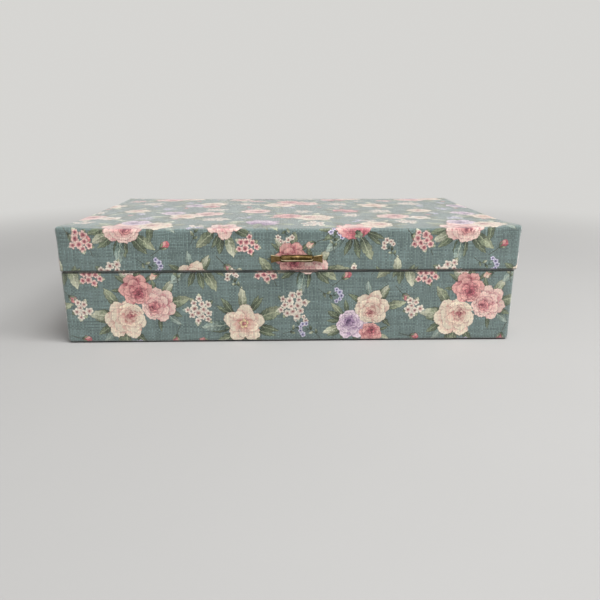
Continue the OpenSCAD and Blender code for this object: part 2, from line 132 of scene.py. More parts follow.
class ClothSettings(bpy.types.PropertyGroup):
    """The printed linen and how it is folded round the boards."""
    thickness: length("Thickness", "Thickness of the cloth with its glue", 0.5, 0.3, 1.0)
    facet: length("Facet", "Size of the facets that carry the print", 1.15, 0.9, 3.0)
    base_corner: length("Base corner", "Radius of the upright corners of the base", 2.6, 1.0, 3.0)
    base_edge: length("Base edge", "Radius of the edges along the foot of the base", 1.5, 0.8, 1.6)
    rim_edge: length("Rim edge", "Radius of the edges of the two rims that meet at the split", 0.9, 0.6, 1.6)
    lid_corner: length("Lid corner", "Radius of the upright corners of the lid", 2.1, 1.0, 3.0)
    lid_edge: length("Lid edge", "Radius of the edges along the top of the lid", 1.6, 0.8, 1.7)
    inner_edge: length("Inner edge", "Radius of the edge where the cloth turns down inside", 1.0, 0.6, 1.2)
    hem: length("Hem", "Width of the cloth turned under the base", 12.0, 5.0, 20.0)
    fold: length("Fold", "How far the folded cloth stands out at the lid's top corners", 0.45, 0.0, 1.5)
    fold_reach: length("Fold reach", "How far that fold reaches from the corner", 5.0, 2.0, 15.0)
    stand: length("Corner rise", "How far the gathered cloth stands up at the top's corners", 1.7, 0.0, 3.0)
    stand_reach: length("Corner reach", "How far that rise reaches from each corner", 20.0, 5.0, 40.0)
    wadding: length("Wadding", "How far the padded top swells from its edges to its middle", 0.9, 0.0, 2.0)
    wadding_width: length("Wadding width", "How far in from the edges the top swells", 32.0, 5.0, 60.0)
    ripple: length("Ripple", "Height of the slow ripples left by the glue", 0.07, 0.0, 0.3)
    ripple_width: length("Ripple width", "Distance from ripple to ripple", 24.0, 5.0, 80.0)
    ground: colour("Ground", "Colour of the unprinted cloth as it shows on screen", (0.412, 0.482, 0.470))
    warp: length("Warp", "Distance from one upright thread to the next", 1.10, 0.4, 2.0)
    weft: length("Weft", "Distance from one crosswise thread to the next", 1.00, 0.4, 2.0)
    thread_height: length("Thread height", "How far the threads stand out of the weave", 0.16, 0.0, 0.5)
    thread_tone: share("Thread tone", "How much the threads differ in brightness", 0.36)
    roughness: share("Roughness", "Roughness of the cloth", 0.56)
    sheen: share("Sheen", "Strength of the fine hairs on the cloth", 0.90)
    # How dark the painted shade along the split and the foot is
    split_shade: share("Shading", "How dark the cloth has grown along the split and the foot", 0.85)
    seed: bpy.props.IntProperty(name="Seed", description="Start of the print's small differences", default=7)


class LiningSettings(bpy.types.PropertyGroup):
    """The velvet and satin covered cards inside, and the ring rolls."""
    edge: length("Edge", "Radius of the soft edges of the covered cards", 0.7, 0.2, 0.95)
    crown: length("Crown", "How much lower the cards are at their edges than in their middle", 0.25, 0.0, 0.6)
    crown_width: length("Crown width", "How far in from the edge the cards are lower", 5.0, 1.0, 15.0)
    divider_round: length("Divider top", "Radius of the top edges of the dividers", 1.45, 0.4, 1.5)
    roll_radius: length("Roll radius", "Radius of a ring roll", 7.4, 5.0, 8.0)
    roll_end: length("Roll end", "Radius of the rounded ends of a ring roll", 2.4, 0.5, 4.0)
    roll_slack: share("Roll slack", "How much larger the cover of a ring roll is than its filling", 0.03)
    roll_stray: length("Roll folds", "How far the cover of a ring roll may lift or sink", 0.55, 0.0, 2.0)
    roll_lump: length("Roll lump", "How uneven the filling of a ring roll is", 0.18, 0.0, 0.6)
    velvet: colour("Velvet", "Colour of the velvet", (0.42, 0.165, 0.185))
    velvet_deep: colour("Velvet shade", "Colour of the velvet with its nap pressed", (0.315, 0.110, 0.130))
    satin: colour("Satin", "Colour of the satin in the lid", (0.72, 0.46, 0.43))
    nap: length("Nap", "Height of the nap of the velvet", 0.12, 0.0, 0.5)


class MirrorSettings(bpy.types.PropertyGroup):
    """The mirror and the covered frame that holds it."""
    bevel_width: length("Bevel", "Width of the ground edge that shows inside the frame", 7.0, 0.0, 20.0)
    bevel_depth: length("Bevel depth", "How much thinner the glass is at its edge", 0.7, 0.0, 1.5)
    frame_edge: length("Frame edge", "Radius of the edges of the covered frame", 1.2, 0.2, 1.8)
    tint: colour("Tint", "Colour of the reflection", (0.86, 0.885, 0.875))


class BrassSettings(bpy.types.PropertyGroup):
    """The pull and the hinges."""
    length: length("Length", "Length of the pull", 31.5, 20.0, 60.0)
    middle: length("Middle", "Thickness of the round middle of the pull", 4.4, 2.0, 5.0)
    end_height: length("End height", "Height of the flattened ends", 5.0, 3.0, 8.0)
    end_thickness: length("End thickness", "Thickness of the flattened ends", 1.5, 0.8, 2.5)
    bow: length("Bow", "Gap between the middle of the pull and the lid", 1.3, 0.5, 5.0)
    arch: length("Arch", "How far the ends of the pull lie below its middle", 0.8, 0.0, 2.0)
    waist: share("Waist", "Share of the half length at which the middle starts to flatten", 0.56)
    neck: share("Neck", "Share of the half length at which the end plates start", 0.66)
    neck_height: length("Neck height", "Height of the pull where the end plates start", 2.9, 2.0, 5.0)
    stud: length("Stud", "Radius of the two studs", 1.0, 0.5, 1.5)
    stud_inset: length("Stud inset", "Distance of each stud from its end of the pull", 2.5, 1.5, 6.0)
    # The bright colour serves worn brass and the painted highlights of the pull
    bright: colour("Bright brass", "Colour of the rubbed brass", (0.92, 0.82, 0.56))
    plain: colour("Brass", "Colour of the brass where it is neither rubbed nor aged", (0.25, 0.165, 0.072))
    aged: colour("Aged brass", "Colour of the aged brass", (0.058, 0.039, 0.013))
    roughness: share("Roughness", "Roughness of the brass", 0.36)


class StageSettings(bpy.types.PropertyGroup):
    """The pale floor, the lights and the camera."""
    floor: colour("Floor", "Colour of the floor", (0.412, 0.407, 0.399))
    backdrop: colour("Backdrop", "Colour that the camera and metal see behind the box", (0.675, 0.668, 0.648))
    floor_reach: length("Floor reach", "How far the floor reaches to each side", 3000.0, 1000.0, 10000.0)
    sky: share("Sky", "Strength of the even light from all round", 0.55, 0.0, 3.0)
    key_power: share("Key light", "Power of the lamp on the right, in watts", 11.0, 0.0, 200.0)
    fill_power: share("Fill light", "Power of the lamp in front, in watts", 3.6, 0.0, 200.0)
    top_power: share("Top light", "Power of the lamp above, in watts", 7.3, 0.0, 200.0)


class BoxSettings(bpy.types.PropertyGroup):
    """All the settings of the box."""
    cloth: bpy.props.PointerProperty(type=ClothSettings)
    lining: bpy.props.PointerProperty(type=LiningSettings)
    mirror: bpy.props.PointerProperty(type=MirrorSettings)
    brass: bpy.props.PointerProperty(type=BrassSettings)
    stage: bpy.props.PointerProperty(type=StageSettings)


# The print: petals, leaves and small blossoms, laid one over another on the plain ground

PETAL, LEAF, BLOSSOM = 0, 1, 2
BLOSSOM_CODE = 100.0

# The paints of each flower as they show on the cloth: petal tip, petal middle, petal base and heart
PAINTS = {
    "cream": ("ecdec7", "e6c4b0", "c98a80", "96494f"),
    "pink": ("efd1c4", "e09c97", "b45b66", "7a3644"),
    "deep": ("e8b0a7", "cc7179", "96404d", "632733"),
    "mauve": ("e4d0d9", "b496b2", "7d5b83", "4f365b"),
    "white": ("efe6d5", "e0cbc0", "c4a099", "8a4b43"),
    "lilac": ("dbd6e5", "b6acc6", "807aa4", "4c4775"),
}
# The same for leaves: tip and base
LEAF_PAINTS = (("a9af90", "3d4a38"), ("d6d6bd", "5d684c"), ("707b61", "2d3827"), ("9aaaa1", "3f534c"))
STEM_PAINT = ("6c6f58", "55594a")
POLLEN = "e7d3a3"
# The paint that leaf veins lean to, and how far the outline darkens the base's paint
VEIN_PAINT, INK = (0.86, 0.86, 0.74), (0.60, 0.60, 0.60)
# The turn from one blossom of a cluster to the next
GOLDEN_TURN = 2.39996


def shade(code):
    """A colour as it shows on screen, from its six hex digits."""
    return tuple(int(code[i:i + 2], 16) / 255 for i in (0, 2, 4))


def between(a, b, share):
    return tuple(p + (q - p) * share for p, q in zip(a, b))


def off(x, y, turn, reach):
    """The place that lies reach away in the direction turn."""
    return x + reach * math.cos(turn), y + reach * math.sin(turn)


class FloralPrint:
    """The shapes of one repeat of the print in the order they are laid. Lengths are in millimetres."""

    def __init__(self, seed):
        self.random = random.Random(seed)
        self.shapes = []

    def lay(self, x, y, turn, long, wide, base, tip, kind=PETAL):
        self.shapes.append((x, y, turn, long, wide, base, tip, kind))

    def vary(self, colour, amount):
        k = 1 + self.random.uniform(-amount, amount)
        return tuple(min(1.0, a * k) for a in colour)

    def petal(self, x, y, turn, reach, long, wide, base, tip, lean=0.0):
        self.lay(*off(x, y, turn, reach), turn + lean, long, wide, base, tip)

    def rose(self, x, y, r, paint, turn):
        """A full rose, whose heart leans towards turn: four rings of petals and a furled heart."""
        tip, middle, base, heart = map(shade, PAINTS[paint])
        lean_x, lean_y = off(0, 0, turn, 0.16 * r)
        # petals, then reach, length and width in shares of r, and the paints of tip and base
        rings = (
            (7, 0.64, 0.40, 0.42, tip, base),
            (6, 0.42, 0.36, 0.38, tip, base),
            (5, 0.26, 0.27, 0.30, between(tip, middle, 0.35), between(base, heart, 0.3)),
            (4, 0.13, 0.19, 0.21, middle, heart),
        )
        for ring, (count, reach, long, wide, light, dark) in enumerate(rings):
            cx, cy = x + lean_x * ring / 2.2, y + lean_y * ring / 2.2
            start = self.random.uniform(0, math.tau)
            for i in range(count):
                a = start + i * math.tau / count + self.random.uniform(-0.12, 0.12)
                near = 1 - 0.16 * math.cos(a - turn)
                size = r * near * self.random.uniform(0.92, 1.08)
                broad = wide * r * self.random.uniform(0.94, 1.1)
                self.petal(cx, cy, a, reach * r * near, long * size, broad, self.vary(dark, 0.08),
                           self.vary(light, 0.05), self.random.uniform(-0.25, 0.25))
        cx, cy = x + lean_x * 1.5, y + lean_y * 1.5
        furls = ((0.05, 0.125, 0.10, middle), (0.035, 0.085, 0.06, base), (0.0, 0.045, 0.03, heart))
        for i, (reach, long, wide, colour) in enumerate(furls):
            self.petal(cx, cy, turn + 2.4 * i, reach * r, long * r, wide * r, heart, colour, 0.6)

    def bloom(self, x, y, r, paint, turn):
        """A half open bloom seen from the side, its petals fanned out from the cup."""
        tip, middle, base, heart = map(shade, PAINTS[paint])
        cx, cy = off(x, y, turn, -0.45 * r)
        for i in (-1, 0, 1):
            self.petal(cx, cy, turn + 0.5 * i, 0.75 * r, 0.62 * r, 0.26 * r,
                       self.vary(heart, 0.1), self.vary(middle, 0.06))
        for b in (-1.05, 1.05, -0.62, 0.62, -0.2, 0.25):
            long = r * (0.56 + 0.08 * math.cos(b)) * self.random.uniform(0.95, 1.05)
            self.petal(cx, cy, turn + b, 0.52 * r, long, 0.33 * r, self.vary(base, 0.08),
                       self.vary(between(tip, middle, 0.4 * abs(b)), 0.04), -0.25 * b)
        leaf_tip, leaf_base = map(shade, LEAF_PAINTS[0])
        for b in (-0.9, 0.0, 0.9):
            self.petal(cx, cy, turn + math.pi + b, 0.05 * r, 0.22 * r, 0.09 * r, leaf_base, leaf_tip)

    def open_flower(self, x, y, r, paint, turn):
        """A flat flower: two rings of broad petals round a lobed eye."""
        tip, _, base, heart = map(shade, PAINTS[paint])
        for layer, size in enumerate((1.0, 0.72)):
            for i in range(5):
                a = turn + layer * math.pi / 5 + i * math.tau / 5 + self.random.uniform(-0.1, 0.1)
                self.petal(x, y, a, 0.5 * r * size, 0.5 * r * size, 0.40 * r * size,
                           self.vary(base, 0.06), self.vary(tip, 0.05), self.random.uniform(-0.2, 0.2))
        self.lay(x, y, turn, 0.24 * r, 0.24 * r, heart, shade(POLLEN), BLOSSOM)
        self.lay(x, y, turn, 0.10 * r, 0.09 * r, heart, base)

    def blossom(self, x, y, r, paint):
        """A small flower of five petals."""
        tip, _, base, heart = map(shade, PAINTS[paint])
        turn = self.random.uniform(0, math.tau)
        self.lay(x, y, turn, r, r, self.vary(base, 0.08), self.vary(tip, 0.04), BLOSSOM)
        self.lay(x, y, turn, 0.24 * r, 0.22 * r, heart, between(heart, tip, 0.4))

    def leaf(self, x, y, turn, long, wide, paint=0):
        tip, base = map(shade, LEAF_PAINTS[paint % len(LEAF_PAINTS)])
        self.lay(*off(x, y, turn, 0.5 * long), turn, 0.5 * long, 0.5 * wide, self.vary(base, 0.12),
                 self.vary(tip, 0.08), LEAF)

    def stem(self, x, y, turn, length, curl, wide=0.5, bits=6):
        """A stem as a chain of short strokes. Returns the places along it."""
        tip, base = map(shade, STEM_PAINT)
        places, step = [], length / bits
        for _ in range(bits):
            self.lay(*off(x, y, turn, 0.5 * step), turn, 0.62 * step, 0.5 * wide, base, tip)
            x, y = off(x, y, turn, step)
            turn += curl / bits
            places.append((x, y, turn))
        return places

    def bud(self, x, y, turn, long, paint):
        """A bud at the end of a short stem."""
        tip, middle, base, _ = map(shade, PAINTS[paint])
        x, y, turn = self.stem(x, y, turn, 1.2 * long, self.random.uniform(-0.6, 0.6))[-1]
        self.petal(x, y, turn, 0.5 * long, 0.5 * long, 0.36 * long, base, middle)
        self.petal(x, y, turn + 0.25, 0.45 * long, 0.42 * long, 0.2 * long, self.vary(base, 0.1), tip)
        for b in (-0.5, 0.45):
            self.leaf(*off(x, y, turn, -0.1 * long), turn + b, 0.75 * long, 0.24 * long)

    def sprig(self, x, y, turn, length, curl, paint, r=1.8):
        """A thin stem with small leaves that ends in a few small flowers."""
        places = self.stem(x, y, turn, length, curl, 0.4)
        for i, (px, py, along) in enumerate(places[1:-1]):
            self.leaf(px, py, along + (0.75 if i % 2 else -0.75), 0.2 * length + 1.2, 1.8, i)
        px, py, along = places[-1]
        for i in range(5):
            a = along + (i - 2) * 0.7
            d = 2.0 * r * (0.75 + 0.5 * self.random.random())
            self.blossom(*off(px, py, a, d), r * self.random.uniform(0.8, 1.15), paint)

    def cluster(self, x, y, spread, count, r, paint):
        """Small blossoms heaped together, with leaf tips round them."""
        start = self.random.uniform(0, math.tau)
        places = [(start + i * GOLDEN_TURN, spread * math.sqrt((i + 0.5) / count)) for i in range(count)]
        for i, (a, d) in enumerate(places[-6:]):
            self.leaf(*off(x, y, a, 0.7 * d), a, 1.1 * r + 0.4 * spread, 1.4 * r, i)
        for a, d in reversed(places):
            self.blossom(*off(x, y, a, d), r * self.random.uniform(0.85, 1.12), paint)

    def spray(self, x, y, r, turns, long):
        """Leaves that stand out from under a flower of radius r: dark ones beneath, then a paler one at each
        turn."""
        for turn in turns:
            for side in (-0.62, 0.62):
                a = turn + side + self.random.uniform(-0.15, 0.15)
                size = long * self.random.uniform(0.62, 0.85)
                self.leaf(*off(x, y, a, 0.6 * r), a + 0.3 * side, size + 0.35 * r,
                          size * self.random.uniform(0.40, 0.50), 2)
        for i, turn in enumerate(turns):
            turn += self.random.uniform(-0.15, 0.15)
            size = long * self.random.uniform(0.8, 1.15)
            self.leaf(*off(x, y, turn, 0.6 * r), turn, size + 0.35 * r,
                      size * self.random.uniform(0.42, 0.52), (0, 1, 3)[i % 3])


# One repeat of the print, drawn on a sheet of 240 by 180 mm and then drawn together by SPREAD
SPREAD = 0.86
REPEAT = (240.0 * SPREAD, 180.0 * SPREAD)
# (x, y, radius, paint, kind, turn of the heart, turns of the leaves)
FLOWERS = (
    (28, 27, 12.5, "cream", "rose", 0.6, (2.2, 3.0, 3.8, 4.6)),
    (49, 36, 10.5, "pink", "rose", 3.6, (0.2, 1.0, -0.6)),
    (36, 47, 9.5, "deep", "rose", -1.0, (1.6, 2.4)),
    (112, 22, 13.0, "cream", "open_flower", 0.3, (0.4, 1.7, 3.1, 4.0, 5.3)),
    (190, 22, 9.5, "mauve", "rose", 2.4, (2.4, 3.5, 4.4)),
    (205, 32, 10.5, "cream", "rose", 4.4, (0.1, 0.9, 1.8)),
    (205, 15, 7.0, "deep", "rose", 1.2, (5.0, 5.9)),
    (80, 72, 12.5, "pink", "bloom", 1.9, (0.2, 3.0, 4.0, 5.2)),
    (99, 84, 10.0, "cream", "rose", 0.4, (0.0, 1.1, 2.0)),
    (158, 72, 12.5, "pink", "rose", 5.2, (2.6, 3.6, 4.6, 5.6)),
    (177, 82, 10.5, "cream", "rose", 2.7, (0.1, 0.9, -0.8)),
    (161, 92, 9.0, "mauve", "rose", 4.3, (1.4, 2.3)),
    (228, 74, 11.0, "pink", "open_flower", 1.1, (0.3, 1.4, 2.6, 3.9, 5.1)),
    (14, 92, 12.0, "mauve", "bloom", 1.2, (-0.3, 2.9, 4.1, 5.2)),
    (52, 120, 13.0, "cream", "rose", 2.5, (0.3, 1.2, 4.3, 5.3)),
    (34, 128, 10.0, "deep", "rose", 0.2, (2.0, 2.9, 3.8)),
    (118, 126, 11.5, "pink", "rose", 1.0, (0.7, 1.8, 2.9, 3.9, 5.0)),
    (136, 117, 8.0, "white", "open_flower", 0.8, (0.0, 5.6)),
    (192, 128, 12.5, "cream", "open_flower", 0.1, (0.6, 3.4, 4.4, 5.5)),
    (208, 141, 10.0, "pink", "rose", 3.9, (0.0, 0.8, 1.7)),
    (180, 145, 8.5, "mauve", "rose", 5.3, (1.6, 2.5)),
    (82, 160, 11.0, "deep", "bloom", 0.9, (-0.4, 2.4, 3.4, 4.6)),
    (8, 158, 10.5, "pink", "rose", 5.6, (0.4, 1.7, 3.0, 4.4)),
    (146, 163, 9.0, "cream", "rose", 1.7, (0.2, 1.5, 2.9, 4.2, 5.4)),
)
# (x, y, spread, count, radius, paint)
CLUSTERS = (
    (80, 32, 8.0, 13, 2.5, "white"), (148, 36, 8.5, 14, 2.5, "white"), (52, 88, 7.5, 11, 2.4, "white"),
    (128, 60, 6.0, 8, 2.4, "pink"), (122, 96, 6.5, 9, 2.4, "white"), (218, 110, 7.5, 12, 2.5, "white"),
    (84, 132, 6.0, 8, 2.4, "white"), (164, 115, 5.5, 7, 2.3, "lilac"), (112, 158, 8.0, 12, 2.5, "white"),
    (46, 156, 6.5, 9, 2.4, "white"), (212, 170, 7.0, 10, 2.5, "white"), (4, 58, 6.0, 8, 2.4, "pink"),
    (170, 176, 5.0, 6, 2.2, "lilac"), (236, 34, 5.5, 7, 2.4, "white"),
)
# (x, y, turn, length, curl, paint)
SPRIGS = (
    (66, 52, 1.9, 11, -0.8, "lilac"), (140, 14, 0.2, 14, 0.9, "white"), (166, 48, 5.6, 12, 0.7, "lilac"),
    (112, 48, 2.6, 10, -0.7, "white"), (204, 58, 1.0, 12, 0.8, "lilac"), (206, 92, 5.2, 10, -0.8, "white"),
    (36, 74, 3.9, 10, 0.8, "white"), (138, 142, 5.9, 12, 0.8, "lilac"), (70, 100, 0.4, 12, -0.8, "lilac"),
    (22, 176, 0.3, 13, 0.8, "lilac"), (236, 134, 4.6, 11, 0.8, "lilac"), (62, 176, 0.1, 10, 0.7, "white"),
    (96, 112, 4.2, 9, 0.6, "white"), (238, 158, 1.2, 10, -0.7, "white"), (168, 10, 2.2, 12, 0.7, "lilac"),
)
# (x, y, turn, length, paint)
BUDS = (
    (66, 22, 4.2, 6.5, "deep"), (136, 50, 2.0, 6.0, "pink"), (176, 50, 0.6, 6.5, "deep"),
    (222, 50, 5.4, 6.0, "pink"), (60, 62, 3.4, 6.0, "cream"), (116, 72, 5.0, 6.0, "deep"),
    (198, 106, 2.3, 6.5, "pink"), (142, 96, 5.5, 6.0, "deep"), (26, 108, 1.8, 6.0, "pink"),
    (94, 146, 3.2, 6.0, "mauve"), (160, 134, 3.0, 6.0, "deep"), (128, 176, 2.9, 6.5, "pink"),
    (188, 170, 2.2, 6.0, "deep"), (26, 142, 3.4, 6.0, "mauve"), (226, 14, 5.9, 6.0, "deep"),
    (94, 8, 3.3, 6.0, "pink"), (12, 8, 3.6, 6.0, "deep"),
)


def print_repeat(seed):
    """The shapes of one repeat: leaves first, then the small flowers, and the large ones on top."""
    sheet = FloralPrint(seed)
    flowers = [(x * SPREAD, y * SPREAD, *rest) for x, y, *rest in FLOWERS]
    for x, y, r, paint, kind, turn, leaves in flowers:
        sheet.spray(x, y, r, leaves, 1.05 * r)
    for draw, table in ((sheet.sprig, SPRIGS), (sheet.bud, BUDS), (sheet.cluster, CLUSTERS)):
        for x, y, *rest in table:
            draw(x * SPREAD, y * SPREAD, *rest)
    for x, y, r, paint, kind, turn, leaves in flowers:
        getattr(sheet, kind)(x, y, r, paint, turn)
    return sheet.shapes


# Cloth folded round the boards: a grid for each side and one for the top, joined at the upright corners

CLOTH_MAP = "cloth"
# The longest facets where the cloth is hidden, and the columns on each half of a corner
HIDDEN_STEP, CORNER_STEPS = 0.06, 2
# How deep the cloth lies under a hinge's screws, and how far it gives way below that
LEAF_SINK, LEAF_PRESS = 0.00082, 0.00035
# The ripples fade out over this distance from an edge
RIPPLE_FADE = 0.004
# How fast the fold at a corner fades down the side, and how far below the top it stands out most
FOLD_FALL, FOLD_DROP = 1.6, 0.6
# Share of the corner rise left at the two corners by the hinges
HINGE_SIDE_RISE = 0.4


def run(start, end, step):
    """Places from start to end, without start, about a step apart."""
    count = max(1, round(math.dist(start, end) / step))
    return [tuple(a + (b - a) * i / count for a, b in zip(start, end)) for i in range(1, count + 1)]


class Profile:
    """The cloth in section: places (depth in from the outer face, height), and whether each stretch shows."""

    def __init__(self, start):
        self.places, self.shown = [start], []

    def add(self, places, shown):
        self.places += places
        self.shown += [shown] * len(places)

    def straight(self, end, step, shown=True):
        self.add(run(self.places[-1], end, step), shown)

    def bend(self, middle, radius, first, last, shown=True):
        """A bend from one angle to another, in degrees."""
        angles = (math.radians(first + (last - first) * i / 3) for i in (1, 2, 3))
        self.add([off(*middle, a, radius) for a in angles], shown)

    def lengths(self):
        """The distance along the section from its start to each place."""
        steps = (math.dist(a, b) for a, b in zip(self.places, self.places[1:]))
        return [0.0, *np.cumsum(list(steps))]


def folded_profile(cloth, start, edge, up, rim, wall, end, facets):
    """The section of a cover: from start round its outer edge, along the outside, over the rim, along the
    inside to end, and back under the cloth. up is 1 where the rim is above start and -1 where it is below.
    facets are the size of those next to start and the reach of those inside, both in common facets."""
    t, lip, inner, step, level = cloth.thickness, cloth.rim_edge, cloth.inner_edge, cloth.facet, start[1]
    outer, over, inside = 180 + 90 * up, 180 - 90 * up, 180 - 180 * up
    bends = (
        ((edge, level + up * edge), edge, outer, 180),
        ((lip, rim - up * lip), lip, 180, over),
        ((wall - inner, rim - up * inner), inner, over, inside),
    )
    section = Profile(start)
    section.straight((edge, level), facets[0] * step)
    section.bend(*bends[0])
    section.straight((0, rim - up * lip), step)
    section.bend(*bends[1])
    section.straight((wall - inner, rim), step)
    section.bend(*bends[2])
    section.straight((wall, rim - up * facets[1] * step), step)
    for place in ((wall, end), (wall - t, end), (wall - t, rim - up * inner)):
        section.straight(place, HIDDEN_STEP, False)
    ends = ((lip, rim - up * t), (t, level + up * edge), (start[0], level + up * t))
    for (middle, radius, first, last), place in zip(reversed(bends), ends):
        section.bend(middle, radius - t, last, first, False)
        section.straight(place, HIDDEN_STEP, False)
    return section


class Outline:
    """The box seen from above: a rectangle with round corners."""

    def __init__(self, low, high, radius, step):
        self.radius, self.step = radius, step
        self.middle = [(a + b) / 2 for a, b in zip(low[:2], high[:2])]
        self.half = [(b - a) / 2 - radius for a, b in zip(low[:2], high[:2])]

    def columns(self, side):
        """Places along one side, from the middle of its first corner to the middle of its second:
        (core point, way it faces, distance from the middle of the side). Side 0 is the front, and the others
        follow anticlockwise."""
        facing = (side - 1) * math.pi / 2
        out = (round(math.cos(facing)), round(math.sin(facing)))
        along = (-out[1], out[0])
        reach, stand = self.half[side % 2], self.half[1 - side % 2]
        leans = [math.pi / 4 * i / CORNER_STEPS for i in range(1, CORNER_STEPS + 1)]
        places = [(-reach, -lean) for lean in reversed(leans)]
        places += [(x, 0.0) for x in self.ruling(side % 2)]
        places += [(reach, lean) for lean in leans]
        return [([m + a * x + o * stand for m, a, o in zip(self.middle, along, out)],
                 (math.cos(facing + lean), math.sin(facing + lean)), x + lean * self.radius)
                for x, lean in places]

    def ruling(self, axis):
        """The places of the columns across the box, from its middle."""
        reach = self.half[axis]
        return [-reach] + [place[0] for place in run((-reach,), (reach,), self.step)]

    def point(self, core, facing, depth):
        """The point in plan at a depth in from the outer face."""
        shrink, out = max(0.0, depth - self.radius), max(0.0, self.radius - depth)
        return [m + max(shrink - h, min(h - shrink, c - m)) + n * out
                for m, h, c, n in zip(self.middle, self.half, core, facing)]


def fold_grid(bm, columns, rows, point, cloth_place, shown):
    """Adds a grid of cloth. Each crossing moves to its point and keeps its place on the cloth in the map."""
    made = bmesh.ops.create_grid(bm, x_segments=columns - 1, y_segments=rows - 1, size=1.0)["verts"]
    cloth_map, flag = bm.loops.layers.uv[CLOTH_MAP], bm.faces.layers.int["shown"]
    row_of = {}
    for index, vert in enumerate(made):
        row, column = divmod(index, columns)
        vert.co = point(column, row)
        row_of[vert] = row
        place = Vector(cloth_place(column, row)) / MM
        for loop in vert.link_loops:
            loop[cloth_map].uv = place
    for face in {face for vert in made for face in vert.link_faces}:
        face[flag] = shown(min(row_of[vert] for vert in face.verts))


def fade(value, width):
    """0 at the edge, 1 from one width in."""
    t = max(0.0, min(1.0, value / width))
    return t * t * (3 - 2 * t)


def wrap_sides(bm, outline, section, cloth, shape, place_on_cloth):
    """Folds the four sides. shape moves a point of the cloth, and place_on_cloth gives its place on it."""
    lengths = section.lengths()
    for side in range(4):
        columns = outline.columns(side)

        def point(column, row):
            core, facing, place = columns[column]
            depth, height = section.places[row]
            x, y = outline.point(core, facing, depth)
            to_corner = outline.half[side % 2] - abs(place)
            return shape(Vector((x, y, height)), Vector((*facing, 0.0)), depth, to_corner)

        fold_grid(bm, len(columns), len(section.places), point,
                  lambda column, row: place_on_cloth(side, columns[column][2], lengths[row]),
                  lambda row: section.shown[row])


def new_cloth():
    bm = bmesh.new()
    bm.loops.layers.uv.new(CLOTH_MAP)
    bm.faces.layers.int.new("shown")
    return bm


def close_cloth(bm):
    """Joins the folded grids into one closed sheet and turns its faces out."""
    bmesh.ops.remove_doubles(bm, verts=bm.verts[:], dist=CLOSE)
    bmesh.ops.dissolve_degenerate(bm, edges=bm.edges[:], dist=CLOSE)
    rest = [edge for edge in bm.edges if edge.is_boundary]
    if rest:
        bmesh.ops.edgeloop_fill(bm, edges=rest)
    return turned_out(bm)


def ripple(cloth, point):
    return cloth.ripple * noise.noise(point / cloth.ripple_width)


def fold_base_cloth(cloth):
    """The cloth of the base, pressed down where the hinge leaves are screwed over it."""
    low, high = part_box("base_cover")
    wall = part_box("front_liner")[0].y - low.y
    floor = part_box("floor_liner")[0].z + TUCK
    leaves = [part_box("left_base_leaf"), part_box("right_base_leaf")]
    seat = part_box("base_leaf_screws")[1].z - LEAF_SINK
    section = folded_profile(cloth, (cloth.hem, low.z), cloth.base_edge, 1, high.z, wall, floor, (2, 4))
    section.straight((cloth.hem, low.z), HIDDEN_STEP, False)
    outline = Outline(low, high, cloth.base_corner, cloth.facet)
    foot = section.lengths()[section.places.index((0, high.z - cloth.rim_edge))] - high.z
    around = [0.0]
    for side in range(4):
        around.append(around[-1] + 2 * outline.half[side % 2] + math.pi / 2 * outline.radius)

    def shape(point, facing, depth, to_corner):
        if depth <= 0:
            height = min(point.z - low.z, high.z - point.z) - cloth.base_edge
            point += facing * ripple(cloth, point) * fade(height, RIPPLE_FADE)
        return press(point, leaves, seat, high.z, -1)

    def place_on_cloth(side, place, length):
        return (around[side] + outline.half[side % 2] + place, length - foot)

    bm = new_cloth()
    wrap_sides(bm, outline, section, cloth, shape, place_on_cloth)
    return close_cloth(bm)


def press(point, leaves, seat, rim, down):
    """A point of the cloth, pushed into the board where it lies under a hinge leaf."""
    for leaf_low, leaf_high in leaves:
        if leaf_low.x <= point.x <= leaf_high.x and point.y >= leaf_low.y and (seat - point.z) * down > 0:
            depth = (rim - point.z) * down
            point.z = seat + down * LEAF_PRESS * min(1.0, abs(depth) / MM)
    return point


